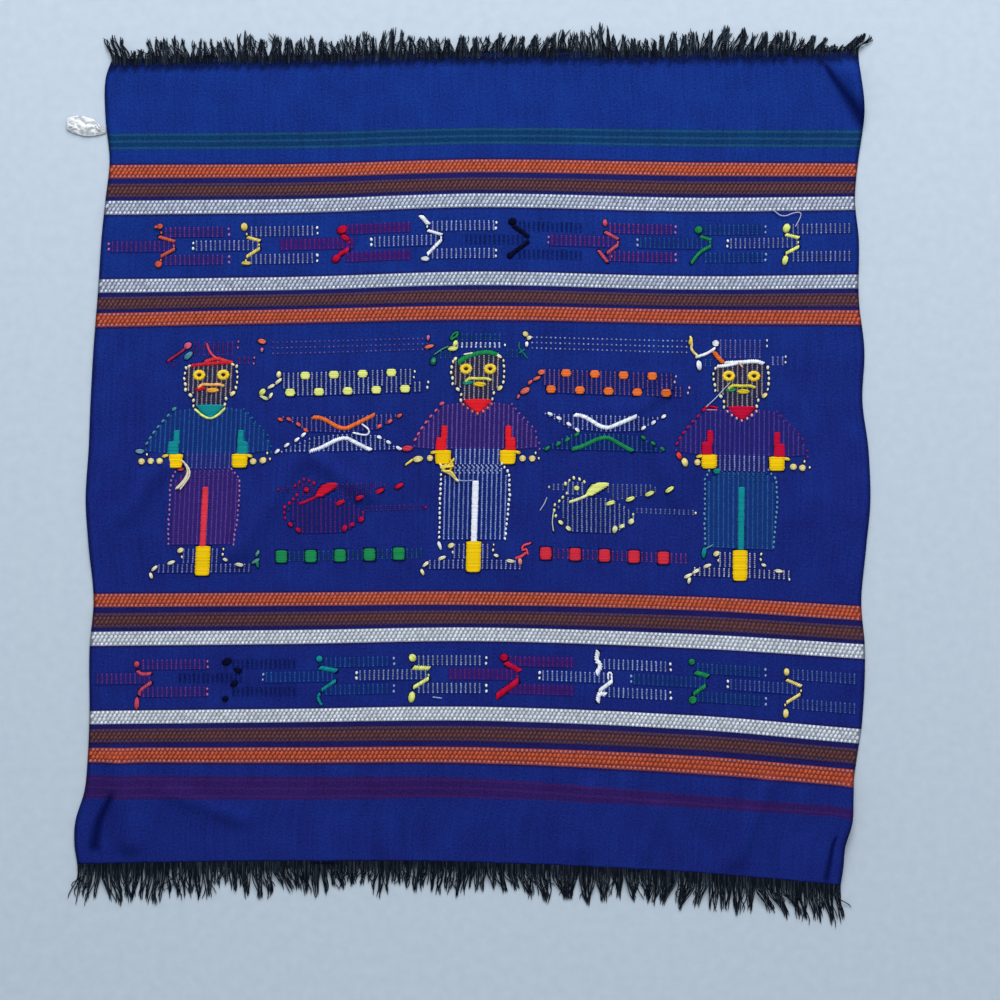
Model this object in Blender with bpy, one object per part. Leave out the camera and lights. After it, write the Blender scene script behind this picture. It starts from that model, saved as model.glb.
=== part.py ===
# A small woven wall hanging, lying flat and face up, with a cut fringe at each end.
#
# Metres, +Z up. The cloth lies in the XY plane on z = 0, with its upper end towards +Y.
# The origin is under the middle of the whole piece.
# Places across the face are given in millimetres from the middle, as one would measure
# the lying cloth with a rule, and places along the warp from the lower end.

from bisect import bisect_right
import math

import bmesh
import bpy

MM = 0.001

# The cloth
CLOTH_LENGTH = 486.0
CLOTH_THICKNESS = 1.2
LOWER_END_Y = -234.0
COLUMNS = 24
ROWS = 26
FOLD_CUTS = 2

# The fringe
END_STATIONS = 2 * COLUMNS
SEAM_GAP = 0.3
STRIP_DEPTH = 1.8
STRIP_THICKNESS = 1.0
LOCK_STOPS = (0.0, 0.07, 0.43, 0.57, 0.93)
LOCK_PARTS = (1, 3)
LOCK_TIP_WIDTH = 0.8
LOCK_TIP_HEIGHT = 0.5
GATHER = 0.4
CLUMP_ROUNDNESS = 0.15

# The label
LABEL_THICKNESS = 1.0
LABEL_CELLS_LONG = 8
LABEL_CELLS_WIDE = 5
LABEL_RIPPLES = 2.5
LABEL_TWIST = 0.3
LABEL_EDGE_SHARE = 0.25

# Where the middle of the whole piece comes, in the same millimetres
MIDDLE_X = 0.4
MIDDLE_Y = -0.53

BLUE = (0.0095, 0.030, 0.190)
NAVY = (0.0055, 0.0075, 0.017)
WHITE = (0.72, 0.74, 0.76)
YARN_ROUGHNESS = 0.9

# The two selvedges: height up the face, left edge, right edge.
SELVEDGES = (
    (-248.4, -234.0, 223.2),
    (-235.2, -234.0, 224.4),
    (-222.6, -235.8, 225.6),
    (-207.6, -235.2, 229.8),
    (-189.6, -229.8, 230.4),
    (-171.6, -228.0, 232.8),
    (-147.6, -226.8, 236.4),
    (-105.6, -226.8, 237.9),
    (-75.6, -224.4, 235.8),
    (-42.6, -227.4, 238.8),
    (-15.6, -229.2, 241.2),
    (14.4, -227.4, 240.0),
    (44.4, -226.2, 236.4),
    (74.4, -224.4, 237.6),
    (104.4, -222.0, 234.3),
    (140.4, -219.6, 234.3),
    (164.4, -217.2, 231.9),
    (188.4, -214.8, 234.0),
    (212.4, -217.2, 237.0),
    (236.4, -217.8, 234.9),
    (252.0, -214.8, 234.0),
)

# How far a weft row hangs below a straight line: distance up the warp, then the drop at each stop.
DROP_STOPS = (0.0, 0.27, 0.5, 0.78, 1.0)
WEFT_DROP = (
    (0.0, 1.2, -0.6, 0.0, 5.4, 13.8),
    (45.0, -1.2, 0.0, 0.0, 8.4, 15.6),
    (66.0, 0.0, 0.0, 0.0, 4.8, 13.2),
    (91.0, 3.6, 1.8, 0.0, 4.2, 12.0),
    (137.0, 3.0, 3.6, 0.0, 3.6, 9.6),
    (159.0, 0.6, 1.2, 0.0, 2.4, 9.0),
    (185.0, 2.0, 1.2, 0.0, 4.2, 7.0),
    (297.0, 4.0, 2.4, 0.0, 3.4, 3.0),
    (330.0, 4.2, 0.6, 0.0, 1.2, 2.4),
    (351.0, 4.8, 1.8, 0.0, 2.4, 1.2),
    (398.0, 3.6, 1.8, 0.0, 2.8, 1.8),
    (420.0, 3.6, 1.8, 0.0, 1.5, 3.6),
    (486.0, 4.2, 2.4, 0.0, -0.3, -1.2),
)

# The folds that stand up from the floor: from x, y to x, y, half width, height.
FOLDS = (
    (218.0, 248.0, 238.0, 214.0, 8.0, 4.2),
    (-228.0, -170.0, -228.0, -218.0, 8.0, 4.0),
    (223.0, -188.0, 220.0, -243.0, 7.0, 3.4),
    (-99.0, 14.0, -138.0, -46.0, 9.0, 2.6),
    (-99.0, 14.0, -60.0, -12.0, 7.0, 1.8),
    (-184.0, 4.0, -205.0, -24.0, 8.0, 2.2),
    (109.0, 27.0, 122.0, -12.0, 7.0, 1.6),
    (179.0, -188.0, 156.0, -240.0, 7.0, 2.2),
    (113.0, -203.0, 102.0, -240.0, 7.0, 1.8),
    (73.0, -190.0, 69.0, -236.0, 8.0, 2.4),
    (-52.0, -186.0, -52.0, -236.0, 7.0, 1.8),
)
FOLD_FADE = 12.0
END_FADE = 14.0

# The clumps of the upper fringe: where the root starts and ends, where the tips meet, and the reach.
UPPER_CLUMPS = (
    (-214.8, -202.2, -213.0, 14.4),
    (-202.2, -190.2, -196.2, 6.3),
    (-190.2, -180.0, -187.2, 13.2),
    (-180.0, -166.8, -177.0, 13.8),
    (-165.6, -157.2, -160.8, 12.0),
    (-157.2, -146.4, -153.6, 11.7),
    (-146.4, -138.0, -145.2, 12.0),
    (-137.4, -128.4, -133.2, 16.0),
    (-126.0, -105.0, -115.2, 13.5),
    (-102.0, -85.8, -94.2, 13.0),
    (-85.8, -75.0, -82.2, 10.0),
    (-74.4, -67.2, -72.6, 12.5),
    (-67.2, -54.6, -61.2, 14.0),
    (-53.4, -39.6, -45.0, 16.0),
    (-39.6, -27.0, -34.2, 11.5),
    (-27.0, -16.2, -22.8, 10.5),
    (-13.8, 7.2, -3.6, 11.0),
    (7.2, 27.0, 19.8, 12.0),
    (28.2, 48.6, 40.8, 11.0),
    (49.2, 63.0, 57.6, 13.5),
    (63.0, 74.4, 68.4, 13.0),
    (74.4, 86.4, 79.2, 17.0),
    (86.4, 100.8, 93.0, 11.0),
    (101.4, 113.4, 106.8, 8.5),
    (113.4, 131.4, 123.6, 12.0),
    (131.4, 138.6, 134.4, 13.5),
    (138.6, 164.4, 155.4, 15.5),
    (166.2, 184.8, 178.8, 12.5),
    (184.8, 195.6, 192.0, 13.5),
    (195.6, 212.4, 207.6, 9.5),
    (212.4, 224.4, 219.6, 4.5),
    (224.4, 235.2, 237.6, 10.5),
)

# The clumps of the lower fringe, in the same columns.
LOWER_CLUMPS = (
    (-235.2, -229.2, -235.2, 21.0),
    (-229.2, -220.8, -228.0, 21.0),
    (-218.4, -204.0, -208.2, 22.5),
    (-204.0, -192.0, -201.0, 21.5),
    (-192.0, -181.2, -189.0, 23.5),
    (-181.2, -169.2, -174.0, 20.5),
    (-169.2, -153.0, -160.8, 20.5),
    (-153.0, -144.0, -149.4, 13.5),
    (-144.0, -136.2, -139.2, 16.0),
    (-135.6, -117.6, -124.8, 22.0),
    (-117.6, -105.0, -106.2, 17.0),
    (-99.0, -84.0, -90.6, 19.5),
    (-84.0, -69.6, -75.0, 15.0),
    (-69.6, -56.4, -64.2, 13.0),
    (-56.4, -46.2, -52.8, 19.5),
    (-46.2, -36.6, -40.8, 13.0),
    (-36.6, -24.6, -32.4, 17.0),
    (-21.6, -10.8, -17.4, 18.0),
    (-10.8, 1.2, -7.2, 18.5),
    (1.2, 10.8, 4.8, 16.5),
    (10.8, 27.6, 22.2, 15.5),
    (31.2, 57.6, 47.4, 20.0),
    (58.8, 84.0, 70.8, 20.0),
    (86.4, 109.2, 99.6, 18.0),
    (109.2, 118.2, 112.2, 20.0),
    (118.2, 143.4, 127.2, 20.0),
    (144.6, 153.0, 148.8, 21.0),
    (153.0, 171.0, 162.0, 21.0),
    (172.2, 194.4, 190.8, 20.5),
    (194.4, 206.4, 202.8, 22.0),
    (206.4, 224.4, 218.4, 23.0),
)

# The label, a short crumpled tab: distance out from the selvedge, lower side, upper side, crumple height.
LABEL_OUTLINE = (
    (0.0, 206.0, 208.4, 0.0),
    (3.2, 204.9, 210.6, 2.2),
    (6.8, 203.9, 213.6, 1.2),
    (11.6, 203.4, 214.2, 3.4),
    (15.8, 204.0, 213.9, 1.4),
    (20.0, 205.6, 214.2, 3.2),
    (23.3, 208.4, 213.6, 0.9),
)
LABEL_ROOT_X = -217.1


def follow(table, place, column):
    """Read one column of a table at a place, on a smooth curve through its rows."""
    places = [row[0] for row in table]
    last = len(table) - 1
    i = min(max(bisect_right(places, place) - 1, 0), last - 1)

    def slope(k):
        before = max(k - 1, 0)
        after = min(k + 1, last)
        return (table[after][column] - table[before][column]) / (places[after] - places[before])

    run = places[i + 1] - places[i]
    f = min(max((place - places[i]) / run, 0.0), 1.0)
    start = table[i][column]
    end = table[i + 1][column]
    ease = f * f * (3 - 2 * f)
    bend_in = f * (1 - f) ** 2 * run * slope(i)
    bend_out = f * f * (1 - f) * run * slope(i + 1)
    return start + (end - start) * ease + bend_in - bend_out


def lay(across, up):
    """Put a point of the flat cloth on the floor: across from 0 to 1, and up the warp in millimetres."""
    drops = [(stop, follow(WEFT_DROP, up, n + 1)) for n, stop in enumerate(DROP_STOPS)]
    base = LOWER_END_Y + up
    left = follow(SELVEDGES, base - drops[0][1], 1)
    right = follow(SELVEDGES, base - drops[-1][1], 2)
    return left + (right - left) * across, base - follow(drops, across, 1)


def near_fold(x, y, fold):
    """How far a point is from a fold's crest, and how far it runs past the fold's nearer end."""
    x0, y0, x1, y1 = fold[:4]
    length = math.hypot(x1 - x0, y1 - y0)
    along = ((x - x0) * (x1 - x0) + (y - y0) * (y1 - y0)) / length
    aside = abs((x - x0) * (y1 - y0) - (y - y0) * (x1 - x0)) / length
    past = max(-along, along - length, 0.0)
    return aside, past


def soften(f):
    """A soft step from 0 to 1."""
    f = min(max(f, 0.0), 1.0)
    return f * f * (3 - 2 * f)


def fold_height(x, y, up):
    """The height of the folds at a point, fading out towards both ends of the cloth."""
    height = 0.0
    for fold in FOLDS:
        aside, past = near_fold(x, y, fold)
        rise = soften(1 - aside / fold[4]) * soften(1 - past / FOLD_FADE) * fold[5]
        height = max(height, rise)
    to_end = min(up, CLOTH_LENGTH - up)
    return height * soften(to_end / END_FADE)


def place(vert, x, y, z):
    vert.co = ((x - MIDDLE_X) * MM, (y - MIDDLE_Y) * MM, z * MM)


def thicken(bm, thickness):
    """Turn an open sheet into a closed solid by drawing it straight up."""
    drawn = bmesh.ops.extrude_face_region(bm, geom=bm.faces[:])["geom"]
    top = [item for item in drawn if isinstance(item, bmesh.types.BMVert)]
    bmesh.ops.translate(bm, verts=top, vec=(0, 0, thickness * MM))
    bmesh.ops.recalc_face_normals(bm, faces=bm.faces[:])


def make_object(name, bm, colour):
    mesh = bpy.data.meshes.new(name)
    bm.to_mesh(mesh)
    bm.free()
    material = bpy.data.materials.new(name)
    material.use_nodes = True
    shader = material.node_tree.nodes["Principled BSDF"]
    shader.inputs["Base Color"].default_value = (*colour, 1)
    shader.inputs["Roughness"].default_value = YARN_ROUGHNESS
    mesh.materials.append(material)
    piece = bpy.data.objects.new(name, mesh)
    bpy.context.collection.objects.link(piece)
    return piece


def build_cloth():
    """The panel: a coarse sheet, finer over the folds, laid out along its wandering edges."""
    bm = bmesh.new()
    bmesh.ops.create_grid(bm, x_segments=COLUMNS, y_segments=ROWS, size=0.5)

    def at_end(edge):
        return all(abs(abs(v.co.y) - 0.5) < 1e-4 for v in edge.verts)

    half_cell = 0.5 * CLOTH_LENGTH / ROWS
    folded = set()
    for face in bm.faces:
        mid = face.calc_center_median()
        x, y = lay(mid.x + 0.5, (mid.y + 0.5) * CLOTH_LENGTH)
        for fold in FOLDS:
            aside, past = near_fold(x, y, fold)
            if aside < fold[4] + half_cell and past < half_cell:
                folded.update(edge for edge in face.edges if not at_end(edge))
    ends = [edge for edge in bm.edges if at_end(edge)]
    bmesh.ops.subdivide_edges(bm, edges=ends, cuts=1)
    folded = [edge for edge in folded if edge.is_valid]
    bmesh.ops.subdivide_edges(bm, edges=folded, cuts=FOLD_CUTS, use_grid_fill=True)
    for vert in bm.verts:
        up = (vert.co.y + 0.5) * CLOTH_LENGTH
        x, y = lay(vert.co.x + 0.5, up)
        place(vert, x, y, fold_height(x, y, up))
    bmesh.ops.triangulate(bm, faces=bm.faces[:])
    thicken(bm, CLOTH_THICKNESS)
    return make_object("cloth", bm, BLUE)


def find_clump(clumps, x):
    """The clump that a root belongs to: the one whose stretch is nearest."""
    return min(clumps, key=lambda clump: max(clump[0] - x, x - clump[1]))


def lock_path(clump, x, y, root_width, outward, steps):
    """Stations along a lock as x, y, half width and height, all locks of a clump on one law."""
    start, end, tip, reach = clump
    middle = 0.5 * (start + end)
    spread = (x - middle) / (0.5 * (end - start))
    length = reach * (1 - CLUMP_ROUNDNESS * min(abs(spread), 1.0) ** 2)
    shift = tip + (x - middle) * GATHER - x
    for step in range(1, steps + 1):
        depth = length * step / steps
        share = depth / reach
        width = root_width + (LOCK_TIP_WIDTH - root_width) * share
        height = STRIP_THICKNESS + (LOCK_TIP_HEIGHT - STRIP_THICKNESS) * share
        yield x + shift * share, y + outward * depth, 0.5 * width, height


def build_fringe(name, end_up, outward, clumps, steps):
    """A narrow strip along one end of the cloth, with its locks drawn out of its outer side."""
    bm = bmesh.new()
    parts = len(LOCK_STOPS)
    cells = END_STATIONS * parts
    bmesh.ops.create_grid(bm, x_segments=cells, y_segments=1, size=0.5)

    def column(vert):
        return round((vert.co.x + 0.5) * cells)

    def is_inner(vert):
        return vert.co.y * outward < 0

    crossings = [
        edge for edge in bm.edges
        if column(edge.verts[0]) == column(edge.verts[1]) and column(edge.verts[0]) % parts
    ]
    bmesh.ops.dissolve_edges(bm, edges=crossings, use_verts=False)
    spare = [vert for vert in bm.verts if is_inner(vert) and column(vert) % parts]
    bmesh.ops.dissolve_verts(bm, verts=spare)
    for vert in bm.verts:
        station, part = divmod(column(vert), parts)
        x, y = lay((station + LOCK_STOPS[part]) / END_STATIONS, end_up)
        offset = SEAM_GAP if is_inner(vert) else SEAM_GAP + STRIP_DEPTH
        place(vert, x, y + outward * offset, 0.0)
    bmesh.ops.recalc_face_normals(bm, faces=bm.faces[:])
    thicken(bm, STRIP_THICKNESS)
    sides = [face for face in bm.faces if face.normal.y * outward > 0.5]
    sides.sort(key=lambda face: face.calc_center_median().x)
    lock_faces = [face for n, face in enumerate(sides) if n % parts in LOCK_PARTS]
    for face in lock_faces:
        root = face.calc_center_median()
        width = (max(v.co.x for v in face.verts) - min(v.co.x for v in face.verts)) / MM
        x = root.x / MM + MIDDLE_X
        y = root.y / MM + MIDDLE_Y
        clump = find_clump(clumps, x)
        for px, py, half_width, height in lock_path(clump, x, y, width, outward, steps):
            face = bmesh.ops.extrude_discrete_faces(bm, faces=[face])["faces"][0]
            middle = face.calc_center_median()
            for vert in face.verts:
                side = half_width if vert.co.x > middle.x else -half_width
                place(vert, px + side, py, height if vert.co.z > middle.z else 0.0)
    bmesh.ops.recalc_face_normals(bm, faces=bm.faces[:])
    return make_object(name, bm, NAVY)


def build_label():
    """The blank tab at the left selvedge: a crumpled sheet that widens away from its root."""
    bm = bmesh.new()
    bmesh.ops.create_grid(bm, x_segments=LABEL_CELLS_LONG, y_segments=LABEL_CELLS_WIDE, size=0.5)
    length = LABEL_OUTLINE[-1][0]
    for vert in bm.verts:
        out = (0.5 - vert.co.x) * length
        lower = follow(LABEL_OUTLINE, out, 1)
        upper = follow(LABEL_OUTLINE, out, 2)
        crumple = max(follow(LABEL_OUTLINE, out, 3), 0.0)
        share = vert.co.y + 0.5
        ripple = 0.5 + 0.5 * math.cos(LABEL_RIPPLES * math.tau * share + LABEL_TWIST * out)
        y = lower + (upper - lower) * share
        place(vert, LABEL_ROOT_X - out, y, crumple * ripple * soften(share / LABEL_EDGE_SHARE))
    bmesh.ops.triangulate(bm, faces=bm.faces[:])
    thicken(bm, LABEL_THICKNESS)
    return make_object("label", bm, WHITE)


for old in list(bpy.data.objects):
    bpy.data.objects.remove(old)

build_cloth()
build_fringe("fringe_top", CLOTH_LENGTH, 1, UPPER_CLUMPS, steps=2)
build_fringe("fringe_bottom", 0.0, -1, LOWER_CLUMPS, steps=3)
build_label()
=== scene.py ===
# The looks of a small woven wall hanging that lies flat and face up.
#
# The cloth is woven in one piece: blue ground, twelve raised stripes, brocaded figures
# and a cut fringe at both ends. Places are in millimetres: x across the lying face from
# the middle, y up the face, and "up" along the warp from the lower end of the cloth.

from bisect import bisect_right
import math
import random

import bmesh
import bpy
from mathutils import Matrix, Vector, noise
import numpy as np


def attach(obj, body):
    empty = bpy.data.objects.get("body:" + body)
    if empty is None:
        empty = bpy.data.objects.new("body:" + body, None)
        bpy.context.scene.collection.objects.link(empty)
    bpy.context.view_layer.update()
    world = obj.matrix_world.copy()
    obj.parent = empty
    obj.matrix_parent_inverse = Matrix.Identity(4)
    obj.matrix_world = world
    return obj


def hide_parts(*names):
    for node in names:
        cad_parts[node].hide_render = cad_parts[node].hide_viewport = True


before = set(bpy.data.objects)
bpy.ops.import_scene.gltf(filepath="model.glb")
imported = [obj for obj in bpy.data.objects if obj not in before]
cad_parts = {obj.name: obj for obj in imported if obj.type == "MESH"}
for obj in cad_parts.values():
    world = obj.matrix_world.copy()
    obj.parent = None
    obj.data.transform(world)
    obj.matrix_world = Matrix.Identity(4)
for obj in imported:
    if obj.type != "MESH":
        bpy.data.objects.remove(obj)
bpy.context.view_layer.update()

MM = 0.001
MM_PER_METRE = 1000.0

# The cloth, on the same outline and folds as its solid
CLOTH_WIDTH = 460.0
CLOTH_LENGTH = 486.0
CLOTH_THICKNESS = 1.2
LOWER_END_Y = -234.0
MIDDLE_X = 0.4
MIDDLE_Y = -0.53
CELLS_ACROSS = 164
CELLS_UP = 172

SELVEDGES = (
    (-248.4, -234.0, 223.2),
    (-235.2, -234.0, 224.4),
    (-222.6, -235.8, 225.6),
    (-207.6, -235.2, 229.8),
    (-189.6, -229.8, 230.4),
    (-171.6, -228.0, 232.8),
    (-147.6, -226.8, 236.4),
    (-105.6, -226.8, 237.9),
    (-75.6, -224.4, 235.8),
    (-42.6, -227.4, 238.8),
    (-15.6, -229.2, 241.2),
    (14.4, -227.4, 240.0),
    (44.4, -226.2, 236.4),
    (74.4, -224.4, 237.6),
    (104.4, -222.0, 234.3),
    (140.4, -219.6, 234.3),
    (164.4, -217.2, 231.9),
    (188.4, -214.8, 234.0),
    (212.4, -217.2, 237.0),
    (236.4, -217.2, 234.9),
    (252.0, -211.8, 234.0),
)

# How far a weft row hangs below a straight line: distance up the warp, then the drop at each stop.
DROP_STOPS = (0.0, 0.27, 0.5, 0.78, 1.0)
WEFT_DROP = (
    (0.0, 1.2, -0.6, 0.0, 5.4, 13.8),
    (45.0, -1.2, 0.0, 0.0, 8.4, 15.6),
    (66.0, 0.0, 0.0, 0.0, 5.2, 13.6),
    (91.0, 2.4, 1.1, 0.0, 5.2, 13.6),
    (137.0, 2.8, 1.6, 0.0, 4.2, 10.4),
    (159.0, 1.2, 0.4, 0.0, 3.0, 9.0),
    (185.0, 3.2, 2.2, 0.0, 4.2, 7.8),
    (245.0, 2.8, 2.2, 0.0, 2.9, 6.4),
    (297.0, 4.3, 3.0, 0.0, 3.7, 4.1),
    (330.0, 4.4, 1.8, 0.0, 2.2, 2.8),
    (351.0, 4.7, 3.0, 0.0, 2.8, 1.8),
    (398.0, 4.6, 3.2, 0.0, 2.6, 1.7),
    (420.0, 3.4, 2.7, 0.0, 2.0, 2.6),
    (486.0, 4.2, 2.4, 0.0, -0.3, -1.2),
)

# The folds that stand up from the floor: from x, y to x, y, half width, height.
FOLDS = (
    (221.0, 252.0, 243.0, 216.0, 12.0, 6.4),
    (-208.0, -172.0, -203.0, -222.0, 13.0, 4.6),
    (229.0, -192.0, 227.0, -245.0, 8.5, 5.0),
    (-99.0, 14.0, -138.0, -46.0, 11.0, 3.6),
    (-99.0, 14.0, -60.0, -12.0, 9.0, 2.8),
    (-184.0, 4.0, -205.0, -24.0, 10.0, 3.2),
    (109.0, 27.0, 122.0, -12.0, 9.0, 2.4),
    (179.0, -188.0, 156.0, -240.0, 9.0, 3.2),
    (113.0, -203.0, 102.0, -240.0, 8.0, 2.6),
    (73.0, -190.0, 69.0, -236.0, 9.0, 3.2),
    (-52.0, -186.0, -52.0, -236.0, 8.0, 2.6),
    (-176.0, -192.0, -137.0, -206.0, 8.0, 2.2),
    (104.0, 40.0, 118.0, 52.0, 8.0, 2.0),
)
FOLD_FADE = 12.0
END_FADE = 14.0

# The clumps of the upper fringe: where the root starts and ends, where the tips meet, and the reach.
UPPER_CLUMPS = (
    (-214.8, -202.2, -213.0, 14.4),
    (-202.2, -190.2, -196.2, 6.3),
    (-190.2, -180.0, -187.2, 13.2),
    (-180.0, -166.8, -177.0, 13.8),
    (-165.6, -157.2, -160.8, 12.0),
    (-157.2, -146.4, -153.6, 11.7),
    (-146.4, -138.0, -145.2, 12.0),
    (-137.4, -128.4, -133.2, 16.0),
    (-126.0, -105.0, -115.2, 13.5),
    (-102.0, -85.8, -94.2, 13.0),
    (-85.8, -75.0, -82.2, 10.0),
    (-74.4, -67.2, -72.6, 12.5),
    (-67.2, -54.6, -61.2, 14.0),
    (-53.4, -39.6, -45.0, 16.0),
    (-39.6, -27.0, -34.2, 11.5),
    (-27.0, -16.2, -22.8, 10.5),
    (-13.8, 7.2, -3.6, 11.0),
    (7.2, 27.0, 19.8, 12.0),
    (28.2, 48.6, 40.8, 11.0),
    (49.2, 63.0, 57.6, 13.5),
    (63.0, 74.4, 68.4, 13.0),
    (74.4, 86.4, 79.2, 17.0),
    (86.4, 100.8, 93.0, 11.0),
    (101.4, 113.4, 106.8, 8.5),
    (113.4, 131.4, 123.6, 12.0),
    (131.4, 138.6, 134.4, 13.5),
    (138.6, 164.4, 155.4, 15.5),
    (166.2, 184.8, 178.8, 12.5),
    (184.8, 195.6, 192.0, 13.5),
    (195.6, 212.4, 207.6, 9.5),
    (212.4, 224.4, 219.6, 4.5),
    (224.4, 235.2, 237.6, 10.5),
)

# The clumps of the lower fringe, in the same columns.
LOWER_CLUMPS = (
    (-235.2, -229.2, -235.2, 21.0),
    (-229.2, -220.8, -228.0, 21.0),
    (-218.4, -204.0, -208.2, 22.5),
    (-204.0, -192.0, -201.0, 21.5),
    (-192.0, -181.2, -189.0, 23.5),
    (-181.2, -169.2, -174.0, 20.5),
    (-169.2, -153.0, -160.8, 20.5),
    (-153.0, -144.0, -149.4, 13.5),
    (-144.0, -136.2, -139.2, 16.0),
    (-135.6, -117.6, -124.8, 22.0),
    (-117.6, -105.0, -106.2, 17.0),
    (-99.0, -84.0, -90.6, 19.5),
    (-84.0, -69.6, -75.0, 15.0),
    (-69.6, -56.4, -64.2, 13.0),
    (-56.4, -46.2, -52.8, 19.5),
    (-46.2, -36.6, -40.8, 13.0),
    (-36.6, -24.6, -32.4, 17.0),
    (-21.6, -10.8, -17.4, 18.0),
    (-10.8, 1.2, -7.2, 18.5),
    (1.2, 10.8, 4.8, 16.5),
    (10.8, 27.6, 22.2, 15.5),
    (31.2, 57.6, 47.4, 20.0),
    (58.8, 84.0, 70.8, 20.0),
    (86.4, 109.2, 99.6, 18.0),
    (109.2, 118.2, 112.2, 20.0),
    (118.2, 143.4, 127.2, 20.0),
    (144.6, 153.0, 148.8, 21.0),
    (153.0, 171.0, 162.0, 21.0),
    (172.2, 194.4, 190.8, 20.5),
    (194.4, 206.4, 202.8, 22.0),
    (206.4, 224.4, 218.4, 23.0),
)

# The label: distance out from the selvedge, lower side, upper side, crumple height.
LABEL_OUTLINE = (
    (0.0, 204.6, 207.0, 0.0),
    (3.2, 203.6, 208.6, 1.6),
    (6.8, 202.9, 212.2, 2.2),
    (11.6, 202.6, 213.7, 2.8),
    (15.8, 203.4, 214.6, 2.0),
    (20.0, 204.8, 214.2, 2.6),
    (23.3, 206.6, 213.2, 0.9),
)
LABEL_ROOT_X = -217.1


def dye(red, green, blue):
    """A dye as it looks, from 0 to 255, as the linear colour that a shader takes."""
    def linear(value):
        value /= 255
        return value / 12.92 if value <= 0.04045 else ((value + 0.055) / 1.055) ** 2.4
    return linear(red), linear(green), linear(blue)


# A stripe's dyes: the ribs, the beads at its edges, the ground under it (the stripe's yarn darkened: painted
# shade between the raised ribs), and how much they vary.
ORANGE_RIBS = (dye(200, 94, 64), dye(190, 112, 108), dye(170, 72, 50), 0.12)
BROWN_RIBS = (dye(104, 66, 66), dye(82, 62, 92), dye(92, 58, 66), 0.1)
WHITE_RIBS = (dye(214, 219, 226), dye(230, 236, 246), dye(180, 186, 196), 0.16)
GREY_RIBS = (dye(188, 195, 212), dye(216, 223, 238), dye(146, 153, 172), 0.18)

# The raised stripes: name, lower edge and upper edge up the warp, and its dyes.
STRIPES = (
    ("stripe_orange_1", 414.6, 422.4, ORANGE_RIBS),
    ("stripe_brown_1", 403.8, 411.6, BROWN_RIBS),
    ("stripe_white_1", 393.8, 402.0, GREY_RIBS),
    ("stripe_white_2", 347.0, 355.2, GREY_RIBS),
    ("stripe_brown_2", 336.6, 344.4, BROWN_RIBS),
    ("stripe_orange_2", 326.2, 334.6, ORANGE_RIBS),
    ("stripe_orange_3", 155.2, 163.4, ORANGE_RIBS),
    ("stripe_brown_3", 144.0, 152.0, BROWN_RIBS),
    ("stripe_white_3", 133.7, 141.9, WHITE_RIBS),
    ("stripe_white_4", 86.0, 94.4, WHITE_RIBS),
    ("stripe_brown_4", 73.6, 82.8, BROWN_RIBS),
    ("stripe_orange_4", 60.6, 70.2, ORANGE_RIBS),
)
STRIPE_GROUPS = ((60.6, 94.4), (133.7, 163.4), (326.2, 355.2), (393.8, 422.4))
RIB_PITCH = 2.6
RIB_ROWS = 4
RIB_SLANT = math.radians(62)


def follow(table, place, column):
    """Read one column of a table at a place, on a smooth curve through its rows."""
    places = [row[0] for row in table]
    last = len(table) - 1
    i = min(max(bisect_right(places, place) - 1, 0), last - 1)

    def slope(k):
        before = max(k - 1, 0)
        after = min(k + 1, last)
        return (table[after][column] - table[before][column]) / (places[after] - places[before])

    run = places[i + 1] - places[i]
    f = min(max((place - places[i]) / run, 0.0), 1.0)
    start = table[i][column]
    end = table[i + 1][column]
    ease = f * f * (3 - 2 * f)
    bend_in = f * (1 - f) ** 2 * run * slope(i)
    bend_out = f * f * (1 - f) * run * slope(i + 1)
    return start + (end - start) * ease + bend_in - bend_out


def row_at(up):
    """A weft row: its height without the drop, its drops, and its left and right ends."""
    drops = [(stop, follow(WEFT_DROP, up, n + 1)) for n, stop in enumerate(DROP_STOPS)]
    base = LOWER_END_Y + up
    left = follow(SELVEDGES, base - drops[0][1], 1)
    right = follow(SELVEDGES, base - drops[-1][1], 2)
    return base, drops, left, right


def lay(across, up):
    """Put a point of the flat cloth on the floor: across from 0 to 1, and up the warp."""
    base, drops, left, right = row_at(up)
    return left + (right - left) * across, base - follow(drops, across, 1)


def on_row(x, up):
    """The height up the face of the weft row at x."""
    base, drops, left, right = row_at(up)
    return base - follow(drops, (x - left) / (right - left), 1)


def near_fold(x, y, crest):
    """How far a point is from a fold's crest, and how far it runs past the fold's nearer end."""
    x0, y0, x1, y1 = crest
    length = math.hypot(x1 - x0, y1 - y0)
    along = ((x - x0) * (x1 - x0) + (y - y0) * (y1 - y0)) / length
    aside = abs((x - x0) * (y1 - y0) - (y - y0) * (x1 - x0)) / length
    past = max(-along, along - length, 0.0)
    return aside, past


def soften(f):
    """A soft step from 0 to 1."""
    f = min(max(f, 0.0), 1.0)
    return f * f * (3 - 2 * f)


def fold_height(x, y, up):
    """The height of the folds at a point, fading out towards both ends of the cloth."""
    height = 0.0
    for *crest, half_width, full_height in FOLDS:
        aside, past = near_fold(x, y, crest)
        rise = soften(1 - aside / half_width) * soften(1 - past / FOLD_FADE) * full_height
        height = max(height, rise)
    to_end = min(up, CLOTH_LENGTH - up)
    return height * soften(to_end / END_FADE)


COCKLE_WIDE = 34.0
COCKLE_NARROW = 11.0
COCKLE_HEIGHT = 0.9


def rest_height(x, y, up):
    """The height of the cloth's underside: its folds, and the slight cockle of a washed cloth."""
    wide = noise.noise(Vector((x / COCKLE_WIDE, y / COCKLE_WIDE, 3.1)))
    narrow = noise.noise(Vector((x / COCKLE_NARROW, y / (1.6 * COCKLE_NARROW), 7.7)))
    cockle = max(0.0, 0.35 + wide + 0.4 * narrow) * COCKLE_HEIGHT
    return fold_height(x, y, up) + cockle


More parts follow.
